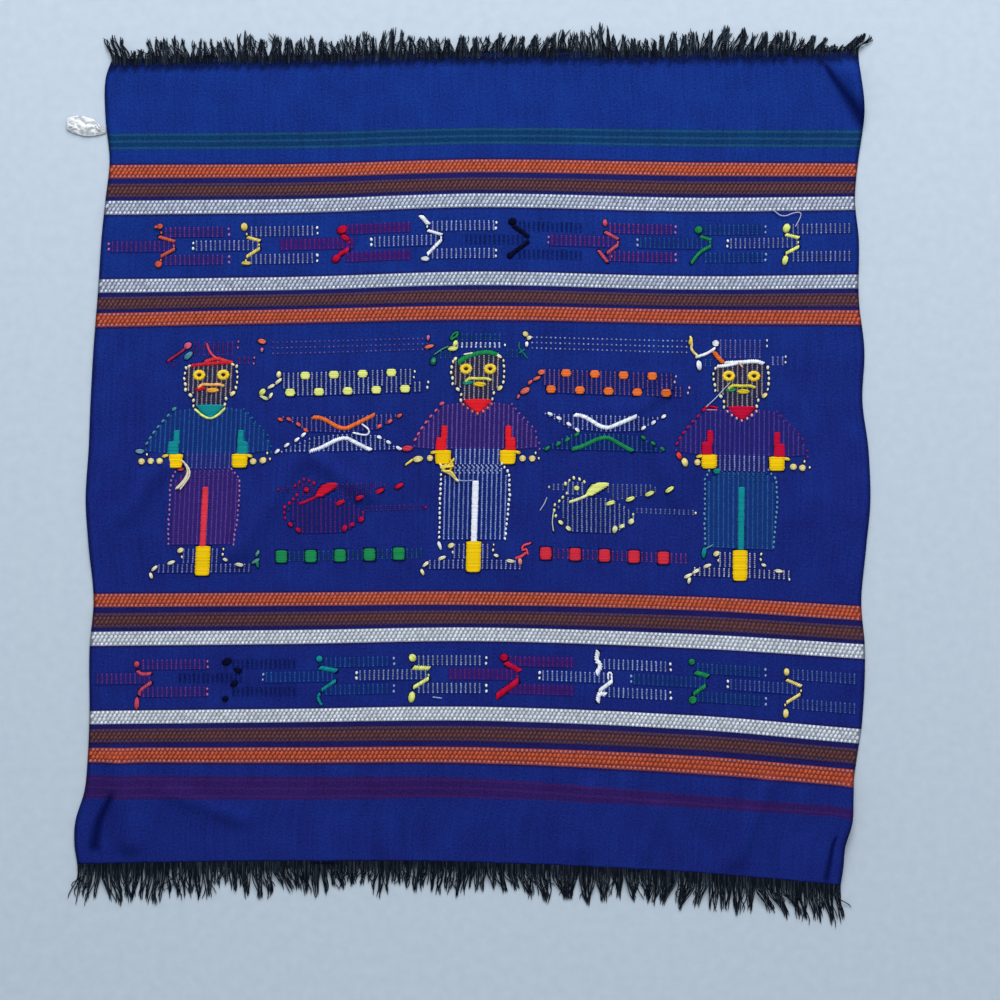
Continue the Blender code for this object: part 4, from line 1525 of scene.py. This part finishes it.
# The motifs' stems. Knots have a place, length, width and turn; limbs have a width and a path.
HOOKED_STEM = (
    ((0.5, 11.9, 3.9, 3.4, 0.4), (-1.8, 11.5, 2.6, 1.3, 0.2), (-0.5, -10.7, 4.8, 4.2, 0.3)),
    ((1.3, 8.1), (8.8, 0.1), (1.0, -8.3)),
    ((2.1, (0.5, 5.5), (8.8, 3.0)), (2.1, (8.8, -1.9), (1.5, -5.8))),
)
FOOTED_STEM = (
    ((-0.2, 11.1, 5.2, 4.2, 1.6), (1.0, -10.7, 6.4, 2.4, 0.0)),
    ((1.3, 6.7), (8.6, 0.3), (0.8, -9.1)),
    ((2.2, (2.2, 4.7), (8.6, 2.8)), (2.2, (8.6, -2.2), (1.7, -6.6))),
)
LOOPED_STEM = (
    ((0.8, 8.2, 7.0, 5.0, 0.5), (2.7, 3.2, 6.0, 3.4, -0.5), (-2.7, -9.0, 6.0, 4.4, 0.7)),
    ((5.2, 0.3),),
    ((3.0, (4.2, -4.1), (-0.7, -6.5)),),
)
SLANTED_STEM = (
    ((-0.5, -11.2, 5.4, 2.8, 0.0),),
    ((0.8, 8.0), (9.1, 1.4)),
    ((3.0, (-2.7, 14.3), (1.2, 9.9)), (2.0, (1.7, 5.5), (9.1, 3.1)), (2.2, (9.1, -0.4), (1.3, -8.2))),
)
SOFT_STEM = (
    ((-0.4, 10.6, 4.8, 4.2, 0.3), (-1.6, -9.5, 4.4, 3.4, 0.6)),
    (),
    ((2.2, (1.0, 7.6), (8.4, 2.3)), (2.2, (8.4, -1.7), (-0.6, -8.6))),
)
FORKED_STEM = (
    ((1.0, 11.2, 4.6, 3.0, 1.6),),
    ((8.7, -0.2), (5.0, -8.8)),
    ((2.1, (1.5, 5.5), (8.4, 2.0)), (2.1, (8.4, -1.9), (2.7, -6.5)), (2.1, (-2.5, -5.9), (2.1, -11.6))),
)
TRAILING_STEM = (
    ((-0.3, 8.2, 5.1, 4.6, 0.4),),
    ((6.6, 0.8),),
    ((2.1, (1.4, 4.1), (6.6, 2.5)), (2.2, (6.6, -1.6), (0.3, -5.0), (-4.3, -11.3))),
)
HEELED_STEM = (
    ((0.0, 8.7, 6.0, 4.6, 1.2), (-0.9, -10.4, 6.2, 3.6, 1.3)),
    ((6.9, 0.1),),
    ((2.2, (0.0, 4.7), (6.9, 3.0)), (2.2, (6.9, -2.7), (0.0, -6.2))),
)
TAILED_STEM = (
    ((0.1, 8.6, 3.9, 3.6, 1.6), (0.1, -15.2, 8.0, 3.0, 1.5)),
    (),
    ((2.4, (1.0, 4.2), (3.0, 2.3), (7.9, 2.8)), (2.2, (8.4, -2.8), (2.1, -7.1), (1.6, -9.5))),
)
BROKEN_STEM = (
    (
        (0.1, 9.7, 6.0, 3.9, 0.4),
        (6.9, 4.3, 5.0, 3.0, -0.4),
        (4.6, -3.6, 5.0, 3.0, 0.6),
        (-0.8, -12.9, 3.6, 3.0, 0.4),
    ),
    (),
    (),
)
FLICKED_STEM = (
    ((0.0, 10.6, 4.2, 4.0, 1.6),),
    (),
    (
        (3.0, (0.9, 5.2), (9.7, 3.3)),
        (2.2, (9.3, -3.1), (1.9, -8.0)),
        (1.8, (0.0, -10.9), (-1.1, -12.9), (0.9, -16.8)),
    ),
)
UPRIGHT_STEM = (
    ((0.3, 10.0, 5.0, 4.6, 2.2), (-0.2, -13.7, 7.0, 4.3, 1.4)),
    ((9.9, -0.6),),
    ((3.0, (1.3, 4.0), (9.9, 3.5)), (2.4, (9.4, -2.9), (1.3, -7.7))),
)
THICK_STEM = (
    ((-0.1, 10.3, 5.0, 4.6, 0.4),),
    ((8.0, -0.8),),
    ((3.4, (1.4, 6.8), (9.0, 2.7)), (4.0, (8.0, -3.8), (-4.2, -13.0))),
)
CURLED_STEM = (
    (),
    (),
    (
        (3.2, (0.0, 15.1), (-1.0, 10.4), (2.1, 7.3), (-0.5, 2.7)),
        (1.2, (6.2, 0.0), (6.2, 3.2), (8.3, 3.2), (8.3, 0.0)),
        (2.6, (8.3, -2.0), (1.1, -7.6)),
        (3.0, (4.2, -9.7), (0.6, -9.2), (0.0, -13.8)),
    ),
)
RINGED_STEM = (
    ((0.3, 11.8, 4.0, 3.8, 0.4), (0.8, -10.4, 5.2, 4.6, 0.4)),
    (),
    ((3.0, (2.9, 5.6), (9.5, 4.1)), (2.6, (8.0, -2.1), (1.8, -6.7))),
)
THIN_STEM = (
    ((-0.1, 9.4, 4.6, 3.6, 1.6), (-0.6, -14.3, 5.7, 3.6, 1.5)),
    ((8.5, -0.7), (-1.0, -9.5)),
    ((2.1, (0.4, 4.7), (8.2, 2.1)), (2.1, (7.6, -3.0), (0.4, -7.7))),
)

# The motif bands: place, dye, tick dye, dye under the ticks, end beads, ends of the tick rows, stem.
COOL_GROUND = dye(20, 40, 118)
PLUM_GROUND = dye(31, 36, 116)
WINE_GROUND = dye(46, 31, 112)
UPPER_MOTIFS = (
    (-185.0, dye(214, 96, 76), dye(104, 54, 116), PLUM_GROUND, PINK, -30.0, 41.8, HOOKED_STEM),
    (-133.8, dye(226, 206, 110), dye(134, 138, 172), COOL_GROUND, WHITE, -30.8, 43.6, FOOTED_STEM),
    (-76.2, CRIMSON, dye(104, 34, 108), WINE_GROUND, None, -37.4, 42.6, LOOPED_STEM),
    (-25.2, WHITE, dye(140, 152, 192), COOL_GROUND, WHITE, -32.6, 42.1, SLANTED_STEM),
    (27.0, NAVY, dye(22, 40, 112), None, None, -30.0, 43.0, SOFT_STEM),
    (81.1, dye(204, 86, 108), dye(116, 50, 116), PLUM_GROUND, PINK, -32.8, 43.2, FORKED_STEM),
    (138.4, GREEN, dye(34, 82, 126), COOL_GROUND, SKY, -36.9, 39.9, TRAILING_STEM),
    (190.8, PALE_YELLOW, dye(124, 132, 166), COOL_GROUND, WHITE, -35.2, 44.0, HEELED_STEM),
)
LOWER_MOTIFS = (
    (-198.5, dye(196, 74, 100), dye(98, 50, 118), PLUM_GROUND, PINK, -30.0, 42.4, TAILED_STEM),
    (-144.6, NAVY, dye(20, 34, 102), None, None, -30.0, 43.0, BROKEN_STEM),
    (-89.0, TEAL, dye(34, 84, 140), COOL_GROUND, SKY, -33.7, 44.6, FLICKED_STEM),
    (-33.5, PALE_YELLOW, dye(140, 148, 170), COOL_GROUND, WHITE, -33.2, 44.4, UPRIGHT_STEM),
    (21.6, CRIMSON, dye(98, 34, 106), WINE_GROUND, None, -34.0, 43.0, THICK_STEM),
    (77.8, WHITE, dye(140, 152, 194), COOL_GROUND, WHITE, -34.9, 43.5, CURLED_STEM),
    (133.8, GREEN, dye(36, 82, 122), COOL_GROUND, SKY, -36.1, 44.6, RINGED_STEM),
    (191.0, mix(PALE_GOLD, CREAM, 0.7), dye(84, 96, 150), COOL_GROUND, WHITE, -35.4, 44.6, THIN_STEM),
)
UPPER_MOTIFS_UP = 374.7
LOWER_MOTIFS_UP = 114.0
SELVEDGE_MARGIN = 3.0
END_GAP = 1.6
OUTER_ROWS = ((5.2, 11.2), (-11.4, -5.4))
OUTER_ROWS_FROM = 3.6
MIDDLE_ROW = (-3.0, 3.2)
MIDDLE_ROW_TO = 8.6
WHITE_BEAD = (2.0, 1.6, 1.3)


def draw_stem(motif, colour, stem):
    """A bent stem from its chart: limbs first, then the links and the knots over them."""
    knots, links, limbs = stem
    for width, *points in limbs:
        motif.yarn(points, width, colour)
    for x, up in links:
        motif.bead(x, up, colour, SMALL_BEAD)
    for x, up, length, width, angle in knots:
        motif.blob(x, up, colour, (length, width, 1.7), angle, 0.8)


def build_motifs(name, seed, centre_up, motifs, finish):
    work = Stitchwork(name, seed)
    left, right = [lay(side, centre_up)[0] for side in (0, 1)]
    for x, colour, tick, under, end, first, last, stem in motifs:
        motif = Motif(work, x, centre_up)
        cut_left = left + SELVEDGE_MARGIN > x + first
        cut_right = right - SELVEDGE_MARGIN < x + last
        first = max(first, left + SELVEDGE_MARGIN - x)
        last = min(last, right - SELVEDGE_MARGIN - x)
        size, margin = (WHITE_BEAD, 0.5) if end is WHITE else (SMALL_BEAD, 0)
        for bottom, top in OUTER_ROWS:
            motif.ticks(box(OUTER_ROWS_FROM, last - END_GAP, bottom, top), tick, under)
            if end and not cut_right:
                motif.beads([(last, bottom + 1.3), (last, top - 1.3)], end, 3.2, size, margin)
        motif.ticks(box(first + END_GAP, MIDDLE_ROW_TO, *MIDDLE_ROW), tick, under)
        if end and not cut_left:
            motif.beads([(first, -1.5), (first, 1.7)], end, 3.2, size, margin)
        draw_stem(motif, colour, stem)
    return work.join(finish)


def build_loose_ends(finish):
    """A long pale thread at the upper right, and specks of lint."""
    motif = Motif(Stitchwork("loose_ends", 401), 0.0, 0.0)
    thread = [(182.4, 394.6), (188.4, 389.8), (195.6, 392.8), (199.8, 392.6)]
    thread += [(198.6, 388.6), (196.2, 384.6)]
    motif.yarn(thread, 0.5, mix(WHITE, LILAC, 0.5), 1.2)
    motif.yarn([(-20.6, 100.2), (-16.2, 99.6)], 0.7, SKY, 0.1)
    motif.yarn([(-66.0, 260.4), (-63.6, 258.6)], 0.6, SKY, 0.1)
    return motif.work.join(finish)


def find_clump(clumps, x):
    """The clump that a root belongs to: the one whose stretch is nearest."""
    return min(clumps, key=lambda clump: max(clump[0] - x, x - clump[1]))


YARN_PITCH = 0.55
YARN_STEPS = 8
YARN_RADIUS = 0.31
YARN_TIP = 0.45
UPPER_HOLD = 0.05
LOWER_HOLD = 0.25
STRAY_SHARE = 0.3
TUCK = 1.5


def fringe_path(clumps, x, y, outward, hold, chance):
    """One loose warp end from the cloth's edge to its tip, drawn in to a lock of its clump."""
    start, end, tip, reach = find_clump(clumps, x)
    middle = 0.5 * (start + end)
    spread = (x - middle) / (0.5 * (end - start))
    lock = round(1.2 * spread)
    length = reach * (1.06 - 0.1 * abs(lock)) * chance.uniform(0.82, 1.04)
    shift = tip + lock * 0.3 * (end - start) + 0.25 * (x - middle) - x + chance.gauss(0, 0.5)
    curl = chance.gauss(0, 0.8)
    if chance.random() < STRAY_SHARE:
        curl = chance.gauss(0, 1.8)
        shift += chance.gauss(0, 2.0)
        length *= chance.uniform(0.6, 1.05)
    turns = chance.uniform(0.5, 1.3)
    phase = chance.uniform(0, math.tau)
    rise = chance.uniform(0.2, 2.4)
    tuck = chance.uniform(0.6, 2.6) * TUCK if outward > 0 else TUCK
    yield x, y - outward * tuck, face_height(x, y - outward * tuck) + chance.uniform(-0.2, 0.4)
    for n in range(YARN_STEPS + 1):
        share = n / YARN_STEPS
        drawn = soften((share - hold) / (1 - hold))
        sway = curl * share * math.sin(turns * math.tau * share + phase)
        lift = rise * math.sin(math.pi * min(1.0, 1.15 * share)) * (1 - 0.5 * share)
        z = chance.uniform(0.6, 0.8) + max(lift, 0.0) + 0.9 * (1 - share) ** 3
        yield x + shift * drawn + sway, y + outward * length * share, z


def spin(name, paths, finish):
    """Round yarns along many paths, joined in one mesh and tapered to their tips."""
    curve = bpy.data.curves.new(name, "CURVE")
    curve.dimensions = "3D"
    curve.bevel_depth = YARN_RADIUS * MM
    curve.bevel_resolution = 0
    curve.use_fill_caps = True
    for path in paths:
        spline = curve.splines.new("POLY")
        spline.points.add(len(path) - 1)
        for n, (x, y, z) in enumerate(path):
            spline.points[n].co = (*to_frame(x, y, z), 1.0)
            spline.points[n].radius = 1.0 if n < len(path) - 1 else YARN_TIP
    shape = add_object(name, curve)
    ready = shape.evaluated_get(bpy.context.evaluated_depsgraph_get())
    mesh = bpy.data.meshes.new_from_object(ready)
    bpy.data.objects.remove(shape)
    mesh.shade_smooth()
    return make_piece(name, mesh, finish)


def build_fringe(name, end_up, outward, hold, clumps, seed, finish):
    chance = random.Random(seed)
    count = round(CLOTH_WIDTH / YARN_PITCH)
    paths = []
    for n in range(count):
        x, y = lay((n + 0.5) / count, end_up)
        paths.append(list(fringe_path(clumps, x, y, outward, hold, chance)))
    return spin(name, paths, finish)


LABEL_LENGTH = 26.0
LABEL_WIDTH = 12.0
LABEL_THICKNESS = 0.5
LABEL_LIFT = 0.3
LABEL_CELLS_ACROSS = 44
LABEL_CELLS_UP = 28


def build_label(finish):
    """The blank tab at the left selvedge: a crumpled tape that widens away from its root."""
    bm, layer = start_sheet(LABEL_LENGTH, LABEL_WIDTH, LABEL_CELLS_ACROSS, LABEL_CELLS_UP)
    length = LABEL_OUTLINE[-1][0]
    for vert in bm.verts:
        out = (0.5 - vert.co.x) * length
        lower, upper, crumple = [follow(LABEL_OUTLINE, out, column) for column in (1, 2, 3)]
        crumple = max(crumple, 0.0)
        share = vert.co.y + 0.5
        y = lower + (upper - lower) * share
        bend = noise.noise(Vector((0.13 * out, 1.4 * share, 5.2)))
        ripple = abs(noise.noise(Vector((0.24 * out + bend, 2.6 * share + 1.5 * bend, 2.3))))
        crease = abs(noise.noise(Vector((0.42 * out, 5.0 * share, 1.3))))
        z = (1.6 * crumple * ripple + 1.6 * crease * soften(out / 5)) * soften(share / 0.2)
        vert.co = to_frame(LABEL_ROOT_X - out, y, LABEL_LIFT + z)
    return end_sheet("blank_label", bm, layer, LABEL_THICKNESS, finish)


FLOOR_SIZE = 6.0
FLOOR_GAP = 0.2


def build_floor():
    bm = bmesh.new()
    bmesh.ops.create_grid(bm, x_segments=1, y_segments=1, size=FLOOR_SIZE / 2)
    bmesh.ops.translate(bm, verts=bm.verts[:], vec=(0, 0, -FLOOR_GAP * MM))
    mesh = to_mesh("floor", bm)
    mesh.materials.append(floor_finish().material)
    floor = add_object("floor", mesh)


VIEW_X = 18.8
VIEW_Y = -15.1
VIEW_HEIGHT = 1200.0
VIEW_FOCAL = 72.0
VIEW_SENSOR = 36.0
VIEW_CLIP = 20.0


def place_camera():
    """Straight above, a little right of and below the middle of the piece."""
    data = bpy.data.cameras.new("camera")
    data.lens = VIEW_FOCAL
    data.sensor_width = VIEW_SENSOR
    data.clip_end = VIEW_CLIP
    camera = add_object("camera", data)
    camera.location = (VIEW_X * MM, VIEW_Y * MM, VIEW_HEIGHT * MM)
    bpy.context.scene.camera = camera


# The light's place and size are in metres.
WINDOW_PLACE = (0.15, 1.75, 1.4)
WINDOW_SIZE = 1.3
WINDOW_POWER = 45.0
WINDOW_COLOUR = (0.96, 0.98, 1.0)
SURROUND_COLOUR = (0.86, 0.93, 1.0, 1.0)
SURROUND_STRENGTH = 0.445


def light_scene():
    """A wide soft window beyond the upper end, and a pale surround."""
    data = bpy.data.lights.new("window", "AREA")
    data.shape = "SQUARE"
    data.size = WINDOW_SIZE
    data.energy = WINDOW_POWER
    data.color = WINDOW_COLOUR
    light = add_object("window", data)
    light.location = WINDOW_PLACE
    light.rotation_euler = (-Vector(WINDOW_PLACE)).to_track_quat("-Z", "Y").to_euler()
    world = bpy.data.worlds.new("surround")
    world.use_nodes = True
    background = world.node_tree.nodes["Background"]
    background.inputs["Color"].default_value = SURROUND_COLOUR
    background.inputs["Strength"].default_value = SURROUND_STRENGTH
    bpy.context.scene.world = world
    bpy.context.scene.view_settings.view_transform = "Standard"


place_camera()
light_scene()
build_floor()

yarn = yarn_finish()
ends = fringe_finish()
cloth = build_cloth(cloth_finish())
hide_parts("cloth")
for seed, (name, lower, upper, dyes) in enumerate(STRIPES):
    build_stripe(name, lower, upper, dyes, seed, yarn)
brocade = build_dolls(yarn)
brocade += build_groups(yarn)
brocade.append(build_motifs("motifs_upper", 301, UPPER_MOTIFS_UP, UPPER_MOTIFS, yarn))
brocade.append(build_motifs("motifs_lower", 302, LOWER_MOTIFS_UP, LOWER_MOTIFS, yarn))
brocade.append(build_loose_ends(yarn))
upper_fringe = build_fringe("upper_fringe", CLOTH_LENGTH, 1, UPPER_HOLD, UPPER_CLUMPS, 41, ends)
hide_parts("fringe_top")
lower_fringe = build_fringe("lower_fringe", 0.0, -1, LOWER_HOLD, LOWER_CLUMPS, 42, ends)
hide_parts("fringe_bottom")
label = build_label(label_finish())
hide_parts("label")

bpy.context.view_layer.update()
